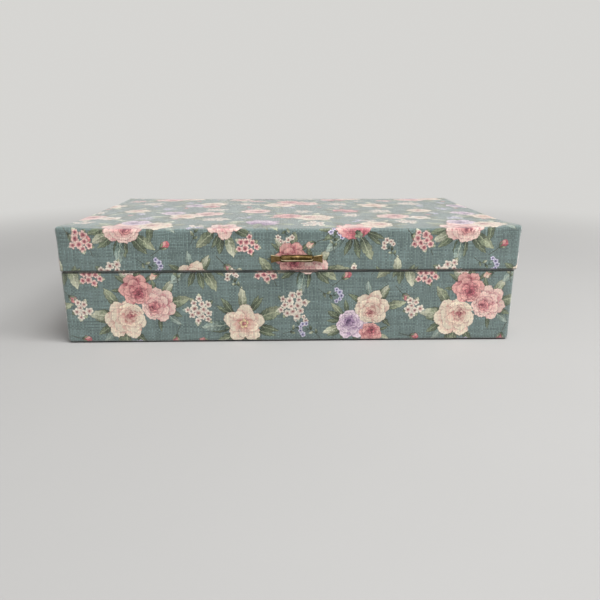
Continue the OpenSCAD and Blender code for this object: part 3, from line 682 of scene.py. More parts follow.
def fold_lid_cloth(cloth):
    """The cloth of the lid: one sheet over the top and down the sides, folded in at the corners."""
    low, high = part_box("lid_cover")
    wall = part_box("lid_front_liner")[0].y - low.y
    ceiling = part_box("mirror_frame")[1].z - TUCK
    leaves = [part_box("left_lid_leaf"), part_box("right_lid_leaf")]
    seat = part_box("lid_leaf_screws")[0].z + LEAF_SINK
    section = folded_profile(cloth, (cloth.lid_corner, high.z), cloth.lid_edge, -1, low.z, wall, ceiling,
                             (1, 3))
    outline = Outline(low, high, cloth.lid_corner, cloth.facet)
    edges = [h + cloth.lid_corner for h in outline.half]
    corners = [((x, y), rise) for x in (low.x, high.x)
               for y, rise in ((low.y, 1.0), (high.y, HINGE_SIDE_RISE))]

    def stand(point):
        """How far the gathered cloth stands up there."""
        away, rise = min((math.dist(point[:2], corner), rise) for corner, rise in corners)
        upper = fade(2 * (point.z - high.z) / cloth.stand_reach + 1, 1.0)
        return cloth.stand * rise * math.exp(-(away / cloth.stand_reach) ** 2) * upper

    def shape(point, facing, depth, to_corner):
        if depth <= 0:
            height = min(point.z - low.z, high.z - point.z) - cloth.lid_edge
            point += facing * ripple(cloth, point) * fade(height, RIPPLE_FADE)
        if depth < cloth.lid_edge and point.z > low.z + cloth.lid_edge:
            down = (high.z - point.z) / cloth.fold_reach
            bulge = math.exp(-(to_corner / cloth.fold_reach) ** 2 - (FOLD_FALL * down - FOLD_DROP) ** 2)
            point += facing * cloth.fold * bulge * (1 - depth / cloth.lid_edge)
        round_edge = math.hypot(max(0.0, cloth.lid_edge - depth), max(0.0, point.z - high.z + cloth.lid_edge))
        layer = (cloth.lid_edge - round_edge) / cloth.thickness
        point.z += stand(point) * max(0.0, 1 - layer)
        return press(point, leaves, seat, low.z, 1)

    def place_on_cloth(side, place, length):
        down = edges[1 - side % 2] - cloth.lid_corner + length
        return ((place, -down), (down, place), (-place, down), (-down, -place))[side]

    bm = new_cloth()
    wrap_sides(bm, outline, section, cloth, shape, place_on_cloth)
    across, deep = outline.ruling(0), outline.ruling(1)

    def top_point(column, row):
        x, y = across[column], deep[row]
        to_edge = outline.half[0] - abs(x), outline.half[1] - abs(y)
        point = Vector((outline.middle[0] + x, outline.middle[1] + y, high.z))
        swell = math.prod(1 - max(0.0, 1 - inward / cloth.wadding_width) ** 2 for inward in to_edge)
        point.z += (stand(point) + ripple(cloth, point) * fade(min(to_edge), RIPPLE_FADE)
                    + cloth.wadding * swell)
        return point

    fold_grid(bm, len(across), len(deep), top_point, lambda column, row: (across[column], deep[row]),
              lambda row: True)
    return close_cloth(bm)


# Laying the print on the cloth: every facet keeps the topmost shapes that cross it

# The shapes that a facet can keep, and the place in a shape that a facet without one is given
LAYERS, NO_SHAPE = 4, (9.0, 9.0, 1.0)
# The side of a bucket and how far past a shape facets are looked for, in millimetres
BUCKET, SEARCH_MARGIN = 5.0, 1.5
# A drawn edge wanders by a first length and a share of the shape's width, up to a most
WOBBLE, WOBBLE_MOST = (0.1, 0.09), 0.45
# A facet with no room left takes the plain paint of a shape whose core it lies in
CORE, LEAST_SIZE = 0.6, 0.001


def wobble(wide):
    """How far the drawn edge of a shape wanders, in millimetres."""
    return min(WOBBLE_MOST, WOBBLE[0] + WOBBLE[1] * wide)


def oval(u, v, long, wide):
    """Below 1 inside the oval of these half axes."""
    return (u / long) ** 2 + (v / wide) ** 2


class Facets:
    """The facets of a mesh on the flat cloth, sorted into square buckets."""

    def __init__(self, mesh):
        faces, loops = len(mesh.polygons), len(mesh.loops)
        starts, counts = np.zeros(faces, np.int32), np.zeros(faces, np.int32)
        mesh.polygons.foreach_get("loop_start", starts)
        mesh.polygons.foreach_get("loop_total", counts)
        flat = np.zeros(loops * 2, np.float32)
        mesh.uv_layers[CLOTH_MAP].data.foreach_get("uv", flat)
        self.corners = flat.reshape(-1, 2).astype(float)
        self.face_of = np.repeat(np.arange(faces), counts)
        self.centre = np.add.reduceat(self.corners, starts) / counts[:, None]
        away = np.hypot(*(self.corners - self.centre[self.face_of]).T)
        self.reach = np.maximum.reduceat(away, starts)
        shown = np.zeros(faces, np.int32)
        mesh.attributes["shown"].data.foreach_get("value", shown)
        self.low = self.centre.min(0)
        self.high = self.centre.max(0)
        cells = ((self.centre - self.low) / BUCKET).astype(int)
        self.columns = cells[:, 0].max() + 1
        key = np.where(shown > 0, cells[:, 1] * self.columns + cells[:, 0], -1)
        self.order = np.argsort(key, kind="stable")
        self.keys = key[self.order]

    def near(self, x, y, radius):
        """The facets in the buckets that a circle touches."""
        first = np.floor((np.array((x, y)) - radius - self.low) / BUCKET).astype(int)
        last = np.floor((np.array((x, y)) + radius - self.low) / BUCKET).astype(int)
        left, right = max(0, first[0]), min(self.columns - 1, last[0])
        found = []
        if left <= right:
            for row in range(max(0, first[1]), last[1] + 1):
                ends = np.searchsorted(self.keys, (row * self.columns + left, row * self.columns + right + 1))
                found.append(self.order[ends[0]:ends[1]])
        return np.concatenate(found) if found else np.zeros(0, int)


def repeats(shapes, low, high, offset):
    """Every shape wherever the repeats put it on the cloth, the topmost first."""
    for shape in reversed(shapes):
        margin = max(shape[3], shape[4]) + 2
        spans = []
        for axis in (0, 1):
            start = shape[axis] + offset[axis]
            first = math.ceil((low[axis] - margin - start) / REPEAT[axis])
            last = math.floor((high[axis] + margin - start) / REPEAT[axis])
            spans.append([start + i * REPEAT[axis] for i in range(first, last + 1)])
        for x in spans[0]:
            for y in spans[1]:
                yield (x, y, *shape[2:])


def lay_print(mesh, shapes, offset):
    """Writes the shapes of each facet to the mesh: where its corners lie in them, and their paints."""
    facets = Facets(mesh)
    faces = len(facets.centre)
    laid = np.full((LAYERS, faces), -1)
    count, covered = np.zeros(faces, int), np.zeros(faces, bool)
    under = np.zeros((faces, 4), np.float32)
    kept = []
    for shape in repeats(shapes, facets.low, facets.high, offset):
        x, y, turn, long, wide, base, tip, kind = shape
        near = facets.near(x, y, max(long, wide) + SEARCH_MARGIN)
        near = near[~covered[near]]
        if not len(near):
            continue
        away = facets.centre[near] - (x, y)
        u = away[:, 0] * math.cos(turn) + away[:, 1] * math.sin(turn)
        v = away[:, 1] * math.cos(turn) - away[:, 0] * math.sin(turn)
        margin = facets.reach[near] + wobble(wide)
        if kind == LEAF:
            crosses = (u / (long + margin)) ** 2 + np.abs(v) / (wide + 2 * margin) < 1
        else:
            crosses = oval(u, v, long + margin, wide + margin) < 1
        near, u, v, margin = near[crosses], u[crosses], v[crosses], margin[crosses]
        full = count[near] >= LAYERS
        inside = oval(u, v, long, wide) < CORE
        missed = near[full & inside]
        under[missed, :3] = between(base, tip, 0.5)
        under[missed, 3] = 1.0
        covered[missed] = True
        free = near[~full]
        laid[count[free], free] = len(kept)
        count[free] += 1
        if kind == PETAL:
            room = np.minimum(long, wide) - margin > 0
            within = oval(u, v, *(np.maximum(size - margin, LEAST_SIZE) for size in (long, wide))) < 1
            covered[near[~full & room & within]] = True
        kept.append(shape)
    table = np.array([shape[:5] for shape in kept] + [(0, 0, 0, 1, 1)])
    kinds = np.array([shape[7] for shape in kept] + [PETAL])
    paints = np.array([(*shape[5], *shape[6]) for shape in kept] + [(0,) * 6])
    wander = np.array([wobble(shape[4]) for shape in kept] + [0])
    size_code = np.where(kinds == LEAF, -table[:, 4], table[:, 4] + BLOSSOM_CODE * (kinds == BLOSSOM))
    for layer in range(LAYERS):
        shape = laid[layer][facets.face_of]
        x, y, turn, long, wide = table[shape].T
        away = facets.corners - np.stack((x, y), 1)
        u = (away[:, 0] * np.cos(turn) + away[:, 1] * np.sin(turn)) / long
        v = (away[:, 1] * np.cos(turn) - away[:, 0] * np.sin(turn)) / wide
        place = np.stack((u, v, size_code[shape]), 1)
        place[shape < 0] = NO_SHAPE
        write(mesh, f"place_{layer}", "FLOAT_VECTOR", "CORNER", "vector", place)
        shape = laid[layer]
        for name, paint, size in (("base", paints[shape, :3], 3), ("tip", paints[shape, 3:], 4)):
            alpha = wander[shape] / table[shape, size]
            write(mesh, f"{name}_{layer}", "FLOAT_COLOR", "FACE", "color", np.column_stack((paint, alpha)))
    write(mesh, "under", "FLOAT_COLOR", "FACE", "color", under)


def write(mesh, name, kind, domain, field, values):
    attribute = mesh.attributes.new(name, kind, domain)
    attribute.data.foreach_set(field, values.astype(np.float32).ravel())


# Finishes

# Distances from the split and the foot between which the painted shade along them fades out
SHADE_REACH = (0.0005, 0.0012)
# Shares of a level face between which the painted shade fades out, for only the upright cloth is given
# painted shade
FLAT_RIM = (0.6, 0.95)
# Colours as they show on screen are made linear by this power
DISPLAY_GAMMA = 2.2
# The values between which most of a noise lies
NOISE_SPAN = (0.3, 0.7)
# The outlines of the print wander: the pitch and share of each wander, and how far both reach, in millimetres
WANDERS, WANDER_REACH = ((2.2, 0.7), (0.9, 0.3)), 4.0
# The brightness from which paint fills the weave and at which it fills it most, and the share it then fills
FILLING = (0.42, 0.75, 0.0, 0.62)
# The painted shade in the gaps between threads and the painted light on their tops, and the tone of cloth
# whose weave is filled
WEAVE_SHADE_TONES, FILLED_TONE = (0.84, 1.06), 0.96
# Broad patches of wear: how close they lie, and their tones
WORN_SCALE, WORN_TONES = 0.03, (0.97, 1.03)
# How close the bends of the threads lie, and how far the threads bend, in millimetres
BEND_SCALE, BEND_REACH = 0.12, (0.9, 0.9, 0.0)
# How fast the tone changes along the threads of each way, and how far apart two threads lie in that noise
TONE_STRETCH, THREAD_STEP = (0.045, 0.040), 7.31
# The power that rounds a thread, and its height where it dives under the next
THREAD_ROUND, THREAD_DIVE = 0.7, 0.5
# The lobes of a blossom and how deep they are, and how far the turn from one paint to the other may waver
LOBES, LOBE_DEPTH, PAINT_WAVER = 5, 0.48, 0.25
# Where the base's paint turns into the tip's: along a petal, and out from the eye of a blossom
PETAL_BLEND, BLOSSOM_BLEND = (-0.9, 0.75), (0.15, 0.75)
# Brush streaks: how they fan out, how close they lie, how they waver, how long they are, the share of paint
# that they add, and the petals that are wide enough for them
STREAK_FAN, STREAK_PITCH, STREAK_WAVER, STREAK_LENGTH = 1.5, 9.0, 3.0, 2.0
STREAKS, STREAKED_WIDTH = (0.35, 1.0, 0.0, 0.34), 1.2
# A leaf's shaded half, the width and strength of its rib and its veins, their pitch and slant, how far their
# paint is from the tip's, and the leaves that are wide enough for them
LEAF_SHADE, RIB, VEINS = 0.12, (0.09, 0.75), (0.09, 0.35)
VEIN_PITCH, VEIN_SLANT, VEIN_SHARE, VEINED_WIDTH = 4.0, -1.6, 0.4, 1.0
# How the outline's ink fades inward, in millimetres, and the factor on that distance for all but leaves
INK_FADE, OVAL_INK = (0.05, 0.32, 0.58, 0.0), 0.62
# The scales of the noises in the other finishes, in waves a metre. Three numbers draw a noise out one way.
CRUSHED, STROKED, STROKE, PILE = 55.0, 160.0, (1.0, 0.25, 1.0), 2600.0
SATIN_THREADS, SATIN_CLOUDS = (40.0, 3600.0, 3600.0), 22.0
BRASS_PATCHES, BRASS_FINE, BRASS_SCRATCHES = 260.0, 1900.0, (120.0, 4200.0, 4200.0)
BOARD_FIBRES, BOARD_BLOTCHES = (500.0, 500.0, 1800.0), 40.0
PAPER_GRAIN, GRAIN_DRAWN, PAPER_RUBS = 900.0, (1.0, 1.6, 1.0), 35.0
MIRROR_SMEARS, SMEARS_DRAWN, STEEL_TURNING = 30.0, (1.0, 2.2, 1.0), (3000.0, 200.0, 3000.0)
# The paints of the board, the paper and the steel, the darkest first, and those of the marks on them
BOARD_PAINTS, BLOTCH_PAINT = ((0.20, 0.115, 0.06), (0.38, 0.25, 0.15)), (0.28, 0.19, 0.12)
PAPER_PAINTS, RUB_PAINT = ((0.012, 0.012, 0.013), (0.028, 0.028, 0.03)), (0.06, 0.058, 0.055)
STEEL_PAINTS = ((0.42, 0.42, 0.43), (0.60, 0.60, 0.61))
# Height of the fine relief of each finish
SATIN_RELIEF, BRASS_RELIEF, STEEL_RELIEF = 0.00006, 0.00002, 0.00001
BOARD_RELIEF, PAPER_RELIEF = 0.0001, 0.00008


class Desk:
    """A node tree that is built a node at a time."""

    def __init__(self, tree):
        self.tree = tree

    def node(self, kind, inputs=None, **settings):
        made = self.tree.nodes.new("ShaderNode" + kind)
        for name, value in settings.items():
            setattr(made, name, value)
        for place, value in (inputs or {}).items():
            self.put(made.inputs[place], value)
        return made

    def put(self, socket, value):
        if isinstance(value, bpy.types.NodeSocket):
            self.tree.links.new(value, socket)
        elif hasattr(value, "__len__") and len(value) == 3 and socket.type == "RGBA":
            socket.default_value = (*value, 1.0)
        else:
            socket.default_value = value

    def sum(self, operation, *values):
        """The result of one Math node."""
        return self.node("Math", dict(enumerate(values)), operation=operation).outputs[0]

    def times(self, a, b):
        return self.sum("MULTIPLY", a, b)

    def times_plus(self, a, b, c):
        return self.sum("MULTIPLY_ADD", a, b, c)

    def vector(self, operation, values, result=0):
        """A result of one Vector Math node."""
        return self.node("VectorMath", values, operation=operation).outputs[result]

    def parts(self, vector):
        """The three parts of a vector."""
        return self.node("SeparateXYZ", {0: vector}).outputs

    def toned(self, colour, tone):
        """A colour whose parts are all multiplied by the tone."""
        grey = self.node("CombineColor", {0: tone, 1: tone, 2: tone}).outputs[0]
        return self.mix(1.0, colour, grey, "MULTIPLY")

    def mix(self, amount, a, b, blend="MIX"):
        """A mix of two colours."""
        made = self.node("Mix", data_type="RGBA", blend_type=blend)
        for place, value in ((0, amount), (6, a), (7, b)):
            self.put(made.inputs[place], value)
        return made.outputs[2]

    def pick(self, amount, a, b):
        """a where amount is 0 and b where it is 1."""
        return self.node("Mix", {0: amount, 2: a, 3: b}, data_type="FLOAT").outputs[0]

    def ease(self, value, low, high, first=0.0, last=1.0):
        """A smooth step from first, below low, to last, above high."""
        return self.node("MapRange", {0: value, 1: low, 2: high, 3: first, 4: last},
                         interpolation_type="SMOOTHSTEP").outputs[0]

    def ramp(self, value, low, high, first=0.0, last=1.0):
        return self.node("MapRange", {0: value, 1: low, 2: high, 3: first, 4: last}).outputs[0]

    def noise(self, vector, scale, detail=2.0, roughness=0.5, dimensions="3D", output="Fac"):
        made = self.node("TexNoise", {"Vector": vector, "Scale": scale, "Detail": detail},
                         noise_dimensions=dimensions)
        self.put(made.inputs["Roughness"], roughness)
        return made.outputs[output]

    def scaled(self, vector, factors):
        """The vector with its axes scaled, by a Mapping node."""
        return self.node("Mapping", {"Vector": vector, "Scale": factors}).outputs[0]


def dimmed(colour, share):
    return tuple(share * value for value in colour)


def new_finish(name):
    """A material with its desk, its shader and the object's own coordinates."""
    finish = bpy.data.materials.new(name)
    finish.use_nodes = True
    desk = Desk(finish.node_tree)
    shader = finish.node_tree.nodes["Principled BSDF"]
    return finish, desk, shader, desk.node("TexCoord").outputs["Object"]


def set_shader(desk, shader, **values):
    """Puts each value or result on the shader's input of that name."""
    for name, value in values.items():
        desk.put(shader.inputs[name.replace("_", " ")], value)


def raise_surface(desk, shader, height, depth, strength=1.0):
    """Bumps the surface by a height that goes from 0 to 1 over depth, in metres."""
    bump = desk.node("Bump", {"Strength": strength, "Distance": depth, "Height": height})
    desk.put(shader.inputs["Normal"], bump.outputs[0])


def laid_shape_group():
    """The nodes that draw one petal, leaf or blossom over the colour under it."""
    tree = bpy.data.node_groups.new("laid shape", "ShaderNodeTree")
    for name, kind in (("Under", "Color"), ("Place", "Vector"), ("Base", "Color"), ("Base reach", "Float"),
                       ("Tip", "Color"), ("Tip reach", "Float"), ("Wander", "Vector")):
        tree.interface.new_socket(name, in_out="INPUT", socket_type="NodeSocket" + kind)
    tree.interface.new_socket("Colour", in_out="OUTPUT", socket_type="NodeSocketColor")
    desk = Desk(tree)
    given = tree.nodes.new("NodeGroupInput").outputs
    out = tree.nodes.new("NodeGroupOutput")
    place = desk.parts(given["Place"])
    wander = desk.parts(given["Wander"])
    base, tip, fine = given["Base"], given["Tip"], wander[2]
    u = desk.times_plus(wander[0], given["Base reach"], place[0])
    v = desk.times_plus(wander[1], given["Tip reach"], place[1])
    side, code = desk.sum("ABSOLUTE", v), place[2]
    leaf = desk.sum("LESS_THAN", code, 0.0)
    blossom = desk.sum("GREATER_THAN", code, 0.5 * BLOSSOM_CODE)
    wide = desk.sum("ABSOLUTE", code)
    uu, vv = desk.times(u, u), desk.times(v, v)
    # how far inside the outline a point lies, for each kind of shape
    depth = desk.sum("SUBTRACT", desk.sum("SUBTRACT", 1.0, uu), desk.pick(leaf, vv, side))
    out_from_eye = desk.sum("SQRT", desk.sum("ADD", uu, vv))
    lobes = desk.sum("ABSOLUTE", desk.sum("COSINE", desk.times(desk.sum("ARCTAN2", v, u), LOBES / 2)))
    rim = desk.times_plus(desk.sum("SQRT", lobes), LOBE_DEPTH, 1 - LOBE_DEPTH)
    lobed = desk.sum("SUBTRACT", 1.0, desk.sum("POWER", desk.sum("DIVIDE", out_from_eye, rim), 2.0))
    depth = desk.pick(blossom, depth, lobed)
    # from the base's paint to the tip's
    along = desk.ease(desk.times_plus(fine, PAINT_WAVER, u), *PETAL_BLEND)
    along = desk.pick(blossom, along, desk.ease(out_from_eye, *BLOSSOM_BLEND))
    paint = desk.mix(along, base, tip)
    # brush streaks on the wider petals
    across = desk.times_plus(desk.times(u, v), STREAK_FAN, desk.times(v, STREAK_PITCH))
    across = desk.sum("SINE", desk.times_plus(fine, STREAK_WAVER, across))
    streak = desk.times(across, desk.sum("COSINE", desk.times_plus(u, STREAK_LENGTH, fine)))
    streaked = desk.times(desk.sum("GREATER_THAN", code, STREAKED_WIDTH), desk.sum("SUBTRACT", 1.0, blossom))
    paint = desk.mix(desk.times(desk.ease(streak, *STREAKS), streaked), paint, base)
    # the shaded half, the rib and the veins of a leaf
    shaded = desk.times(desk.sum("GREATER_THAN", v, 0.0), desk.times(leaf, LEAF_SHADE))
    paint = desk.mix(shaded, paint, (0.0, 0.0, 0.0))
    rib = desk.times(desk.sum("LESS_THAN", side, RIB[0]), RIB[1])
    slant = desk.times_plus(side, VEIN_SLANT, desk.times(u, VEIN_PITCH))
    vein = desk.sum("ABSOLUTE", desk.sum("SUBTRACT", desk.sum("FRACT", slant), 0.5))
    vein = desk.times(desk.sum("LESS_THAN", vein, VEINS[0]), VEINS[1])
    veined = desk.times(leaf, desk.sum("GREATER_THAN", wide, VEINED_WIDTH))
    pale = desk.mix(VEIN_SHARE, tip, VEIN_PAINT)
    paint = desk.mix(desk.times(desk.sum("MAXIMUM", rib, vein), veined), paint, pale)
    # the darker outline
    wide = desk.times_plus(blossom, -BLOSSOM_CODE, wide)
    line = desk.times(desk.times(depth, wide), desk.pick(leaf, OVAL_INK, 1.0))
    ink = desk.mix(1.0, base, INK, "MULTIPLY")
    paint = desk.mix(desk.ease(line, *INK_FADE), paint, ink)
    drawn = desk.mix(desk.sum("GREATER_THAN", depth, 0.0), given["Under"], paint)
    tree.links.new(drawn, out.inputs["Colour"])
    return tree


def linen_finish(cloth, split):
    """Plain woven linen with the print. The print is mixed as it shows on screen and made linear at the end.
    split is the height of the split between the base and the lid."""
    finish, desk, shader, place = new_finish("printed_linen")
    flat = desk.node("UVMap", uv_map=CLOTH_MAP).outputs[0]
    wander = []
    for pitch, weight in WANDERS:
        cloud = desk.noise(flat, 1 / pitch, 0.0, dimensions="2D", output="Color")
        centred = desk.vector("SUBTRACT", {0: cloud, 1: (0.5, 0.5, 0.5)})
        wander.append(desk.vector("SCALE", {0: centred, 3: WANDER_REACH * weight}))
    wander = desk.vector("ADD", {0: wander[0], 1: wander[1]})

    def attribute(name):
        return desk.node("Attribute", attribute_name=name).outputs

    under = attribute("under")
    seen = desk.mix(under["Alpha"], cloth.ground, under["Color"])
    group = laid_shape_group()
    for layer in reversed(range(LAYERS)):
        base, tip = attribute(f"base_{layer}"), attribute(f"tip_{layer}")
        shape = desk.node("Group", node_tree=group)
        for name, value in (("Under", seen), ("Place", attribute(f"place_{layer}")["Vector"]),
                            ("Base", base["Color"]), ("Base reach", base["Alpha"]),
                            ("Tip", tip["Color"]), ("Tip reach", tip["Alpha"]), ("Wander", wander)):
            desk.put(shape.inputs[name], value)
        seen = shape.outputs[0]

    # the paint of pale petals fills the weave
    filled = desk.ramp(desk.node("RGBToBW", {"Color": seen}).outputs[0], *FILLING)
    height, tone = plain_weave(desk, flat, cloth.warp / MM, cloth.weft / MM)
    low, high = 1 - 0.5 * cloth.thread_tone, 1 + 0.5 * cloth.thread_tone
    tone = desk.ramp(tone, *NOISE_SPAN, low, high)
    # painted shade in the low gaps of the weave and painted light on the thread tops, left out where paint
    # fills the weave
    gap_shade = desk.ramp(height, 0.0, 1.0, *WEAVE_SHADE_TONES)
    tone = desk.pick(filled, desk.times(tone, gap_shade), FILLED_TONE)
    worn = desk.ramp(desk.noise(flat, WORN_SCALE, 3.0, dimensions="2D"), *NOISE_SPAN, *WORN_TONES)
    tone = desk.times(tone, worn)
    # painted shade along the split between lid and base and along the foot, on the upright cloth only
    height_on_box = desk.parts(place)[2]
    from_split = desk.sum("ABSOLUTE", desk.sum("SUBTRACT", height_on_box, split))
    slope = desk.sum("ABSOLUTE", desk.parts(desk.node("TexCoord").outputs["Normal"])[2])
    upright_shade = desk.ease(slope, *FLAT_RIM, cloth.split_shade, 0.0)
    near_edge = desk.ease(desk.sum("MINIMUM", from_split, height_on_box), *SHADE_REACH, 1.0, 0.0)
    clean = desk.sum("SUBTRACT", 1.0, desk.times(upright_shade, near_edge))
    seen = desk.toned(seen, desk.times(tone, clean))
    linear = desk.node("Gamma", {"Color": seen, "Gamma": DISPLAY_GAMMA}).outputs[0]
    raise_surface(desk, shader, height, cloth.thread_height)
    set_shader(desk, shader, Base_Color=linear, Roughness=cloth.roughness, Sheen_Weight=cloth.sheen,
               Sheen_Roughness=0.45, Sheen_Tint=(1.0, 1.0, 0.98))
    return finish


def plain_weave(desk, flat, warp, weft):
    """Threads over and under one another: the height of the weave and the tone of the thread on top."""
    bend = desk.noise(flat, BEND_SCALE, 1.0, dimensions="2D", output="Color")
    bend = desk.vector("MULTIPLY_ADD", {0: bend, 1: BEND_REACH, 2: flat})
    place = desk.parts(bend)
    across, along = desk.sum("DIVIDE", place[0], warp), desk.sum("DIVIDE", place[1], weft)
    humps, threads = [], []
    for own, other, stretch in zip((across, along), (along, across), TONE_STRETCH):
        number = desk.sum("FLOOR", own)
        hump = desk.sum("SINE", desk.times(desk.sum("FRACT", own), math.pi))
        wave = desk.sum("SINE", desk.times(desk.sum("FRACT", other), math.pi))
        humps.append(desk.times(desk.sum("POWER", hump, THREAD_ROUND),
                                desk.ramp(wave, 0.0, 1.0, THREAD_DIVE, 1.0)))
        spot = desk.node("CombineXYZ", {0: desk.times(number, THREAD_STEP),
                                        1: desk.times(other, stretch)}).outputs[0]
        threads.append(desk.noise(spot, 1.0, 2.0, 0.7, "2D"))
    number = desk.sum("ADD", desk.sum("FLOOR", across), desk.sum("FLOOR", along))
    over = desk.sum("FLOORED_MODULO", number, 2.0)
    return desk.pick(over, humps[0], humps[1]), desk.pick(over, threads[0], threads[1])


def velvet_finish(name, bright, deep, nap):
    """Velvet: short pile that lies this way and that, pale where it is seen from the side."""
    finish, desk, shader, place = new_finish(name)
    crushed = desk.noise(place, CRUSHED, 4.0, 0.6)
    stroked = desk.noise(desk.scaled(place, STROKE), STROKED, 2.0)
    pile = desk.noise(place, PILE, 1.0)
    lying = desk.times_plus(stroked, 0.4, desk.times(crushed, 0.6))
    paint = desk.mix(desk.ease(lying, 0.33, 0.67), deep, bright)
    set_shader(desk, shader, Base_Color=desk.toned(paint, desk.ramp(pile, *NOISE_SPAN, 0.82, 1.12)),
               Roughness=desk.ramp(lying, *NOISE_SPAN, 0.95, 0.8), Specular_IOR_Level=0.2,
               Sheen_Weight=0.6, Sheen_Roughness=0.45, Sheen_Tint=(1.0, 0.72, 0.72))
    raise_surface(desk, shader, desk.times_plus(crushed, 1.5, pile), nap)
    return finish


def satin_finish(bright):
    """Satin: long glossy threads that cross fine hidden ones."""
    finish, desk, shader, place = new_finish("rose_satin")
    threads = desk.noise(desk.scaled(place, SATIN_THREADS), 1.0, 2.0)
    cloudy = desk.noise(place, SATIN_CLOUDS, 3.0)
    paint = desk.mix(desk.ease(cloudy, *NOISE_SPAN), dimmed(bright, 0.86), bright)
    set_shader(desk, shader, Base_Color=desk.toned(paint, desk.ramp(threads, *NOISE_SPAN, 0.88, 1.06)),
               Roughness=desk.ramp(threads, *NOISE_SPAN, 0.34, 0.5), Specular_IOR_Level=0.6,
               Sheen_Weight=0.25, Sheen_Roughness=0.3)
    raise_surface(desk, shader, threads, SATIN_RELIEF)
    return finish


def brass_finish(name, brass, roughness, rubbed=None):
    """Brass that has darkened, rubbed bright where fingers and cloth reach it. The bright share is a number,
    or else the mesh's own attribute, which on the pull holds both wear and painted highlights."""
    finish, desk, shader, place = new_finish(name)
    if rubbed is None:
        rubbed = desk.node("Attribute", attribute_name=WORN_AND_HIGHLIT).outputs["Fac"]
    patches = desk.noise(place, BRASS_PATCHES, 4.0, 0.6)
    fine = desk.noise(place, BRASS_FINE, 3.0, 0.7)
    scratches = desk.noise(desk.scaled(place, BRASS_SCRATCHES), 1.0, 3.0)
    wear = desk.sum("ADD", rubbed, desk.ease(patches, 0.35, 0.7, -0.10, 0.22))
    wear = desk.sum("MAXIMUM", desk.sum("MINIMUM", wear, 1.0), 0.0)
    clean = desk.mix(desk.ease(wear, 0.3, 0.9), brass.plain, brass.bright)
    paint = desk.mix(desk.ramp(wear, 0.0, 0.3), brass.aged, clean)
    rough = desk.ramp(patches, *NOISE_SPAN, roughness + 0.14, roughness - 0.05)
    set_shader(desk, shader, Base_Color=desk.toned(paint, desk.ramp(fine, 0.35, 0.65, 0.8, 1.08)),
               Roughness=desk.times_plus(scratches, 0.08, rough), Metallic=1.0)
    raise_surface(desk, shader, desk.times_plus(fine, 0.5, scratches), BRASS_RELIEF)
    return finish


def fibreboard_finish():
    finish, desk, shader, place = new_finish("brown_fibreboard")
    fibres = desk.noise(desk.scaled(place, BOARD_FIBRES), 1.0, 4.0, 0.65)
    blotches = desk.noise(place, BOARD_BLOTCHES, 3.0)
    paint = desk.mix(desk.ease(fibres, 0.35, 0.65), *BOARD_PAINTS)
    paint = desk.mix(desk.ease(blotches, 0.4, 0.7, 0.0, 0.3), paint, BLOTCH_PAINT)
    set_shader(desk, shader, Base_Color=paint, Roughness=0.85, Specular_IOR_Level=0.3)
    raise_surface(desk, shader, fibres, BOARD_RELIEF)
    return finish


def paper_finish():
    finish, desk, shader, place = new_finish("black_paper")
    grain = desk.noise(desk.scaled(place, GRAIN_DRAWN), PAPER_GRAIN, 4.0, 0.7)
    rubs = desk.noise(place, PAPER_RUBS, 5.0, 0.6)
    paint = desk.mix(desk.ease(grain, 0.35, 0.7), *PAPER_PAINTS)
    paint = desk.mix(desk.ease(rubs, 0.55, 0.75, 0.0, 0.4), paint, RUB_PAINT)
    set_shader(desk, shader, Base_Color=paint, Roughness=desk.ramp(rubs, *NOISE_SPAN, 0.75, 0.55))
    raise_surface(desk, shader, grain, PAPER_RELIEF)
    return finish


def mirror_finish(tint):
    finish, desk, shader, place = new_finish("mirror_glass")
    smears = desk.noise(desk.scaled(place, SMEARS_DRAWN), MIRROR_SMEARS, 4.0, 0.6)
    haze = desk.mix(desk.ease(smears, 0.5, 0.8, 0.0, 0.25), tint, dimmed(tint, 0.93))
    set_shader(desk, shader, Base_Color=haze, Roughness=desk.ramp(smears, 0.4, 0.8, 0.005, 0.03),
               Metallic=1.0)
    return finish


def steel_finish():
    finish, desk, shader, place = new_finish("washer_steel")
    turned = desk.noise(desk.scaled(place, STEEL_TURNING), 1.0, 3.0)
    set_shader(desk, shader, Base_Color=desk.mix(turned, *STEEL_PAINTS),
               Roughness=desk.ramp(turned, *NOISE_SPAN, 0.28, 0.42), Metallic=1.0)
    raise_surface(desk, shader, turned, STEEL_RELIEF)
    return finish


# Shapes of the other pieces

# The attribute that holds the pull's wear and its painted highlights
WORN_AND_HIGHLIT = "rubbed"
# Steps along a divider and up it, how close its swells lie, and how far from its ends they fade
DIVIDER_STEPS, DIVIDER_SWELLS, SWELL_FADE = (0.012, 0.01), 40, 0.01
# A roll's sides, the length of its rings, the dome of its ends, and how wide its slow and fine lumps are
ROLL_SIDES, ROLL_RING = 56, 0.0017
CAP_INSET, CAP_DEPTH, CAP_DOME = 0.45, 0.0003, -0.0006
SLOW_LUMPS, FINE_LUMPS, FINE_SHARE, LUMP_DROP = 70, 330, 0.35, 0.9
# The simulated covers of the rolls: size of the facets, frames, height of the glued foot, weight and pressure
COVER_VOXEL, COVER_FRAMES, GLUED_FOOT, COVER_MASS, COVER_PRESSURE = 0.0012, 20, 0.0012, 0.0005, 4.0
# The pull's sections, the sides of each, how near two of its points may lie, and the bevels of ends and studs
BAR_SECTIONS, BAR_SIDES, BAR_CLOSE, BAR_BEVEL, STUD_BEVEL = 96, 48, 0.000002, 0.00018, 0.0003
# The upper and the lower painted highlight along the pull: height, width and strength
UPPER_HIGHLIGHT, LOWER_HIGHLIGHT = (0.56, 0.17, 0.12), (-0.46, 0.12, 1.00)
# How the painted highlights run together towards the necks, and the wear between them, whose dark aged paint
# also stands in for a dark reflection
HIGHLIGHTS_MEET, HIGHLIGHT_CURVE, LEAST_WEAR = 0.85, 5, 0.02
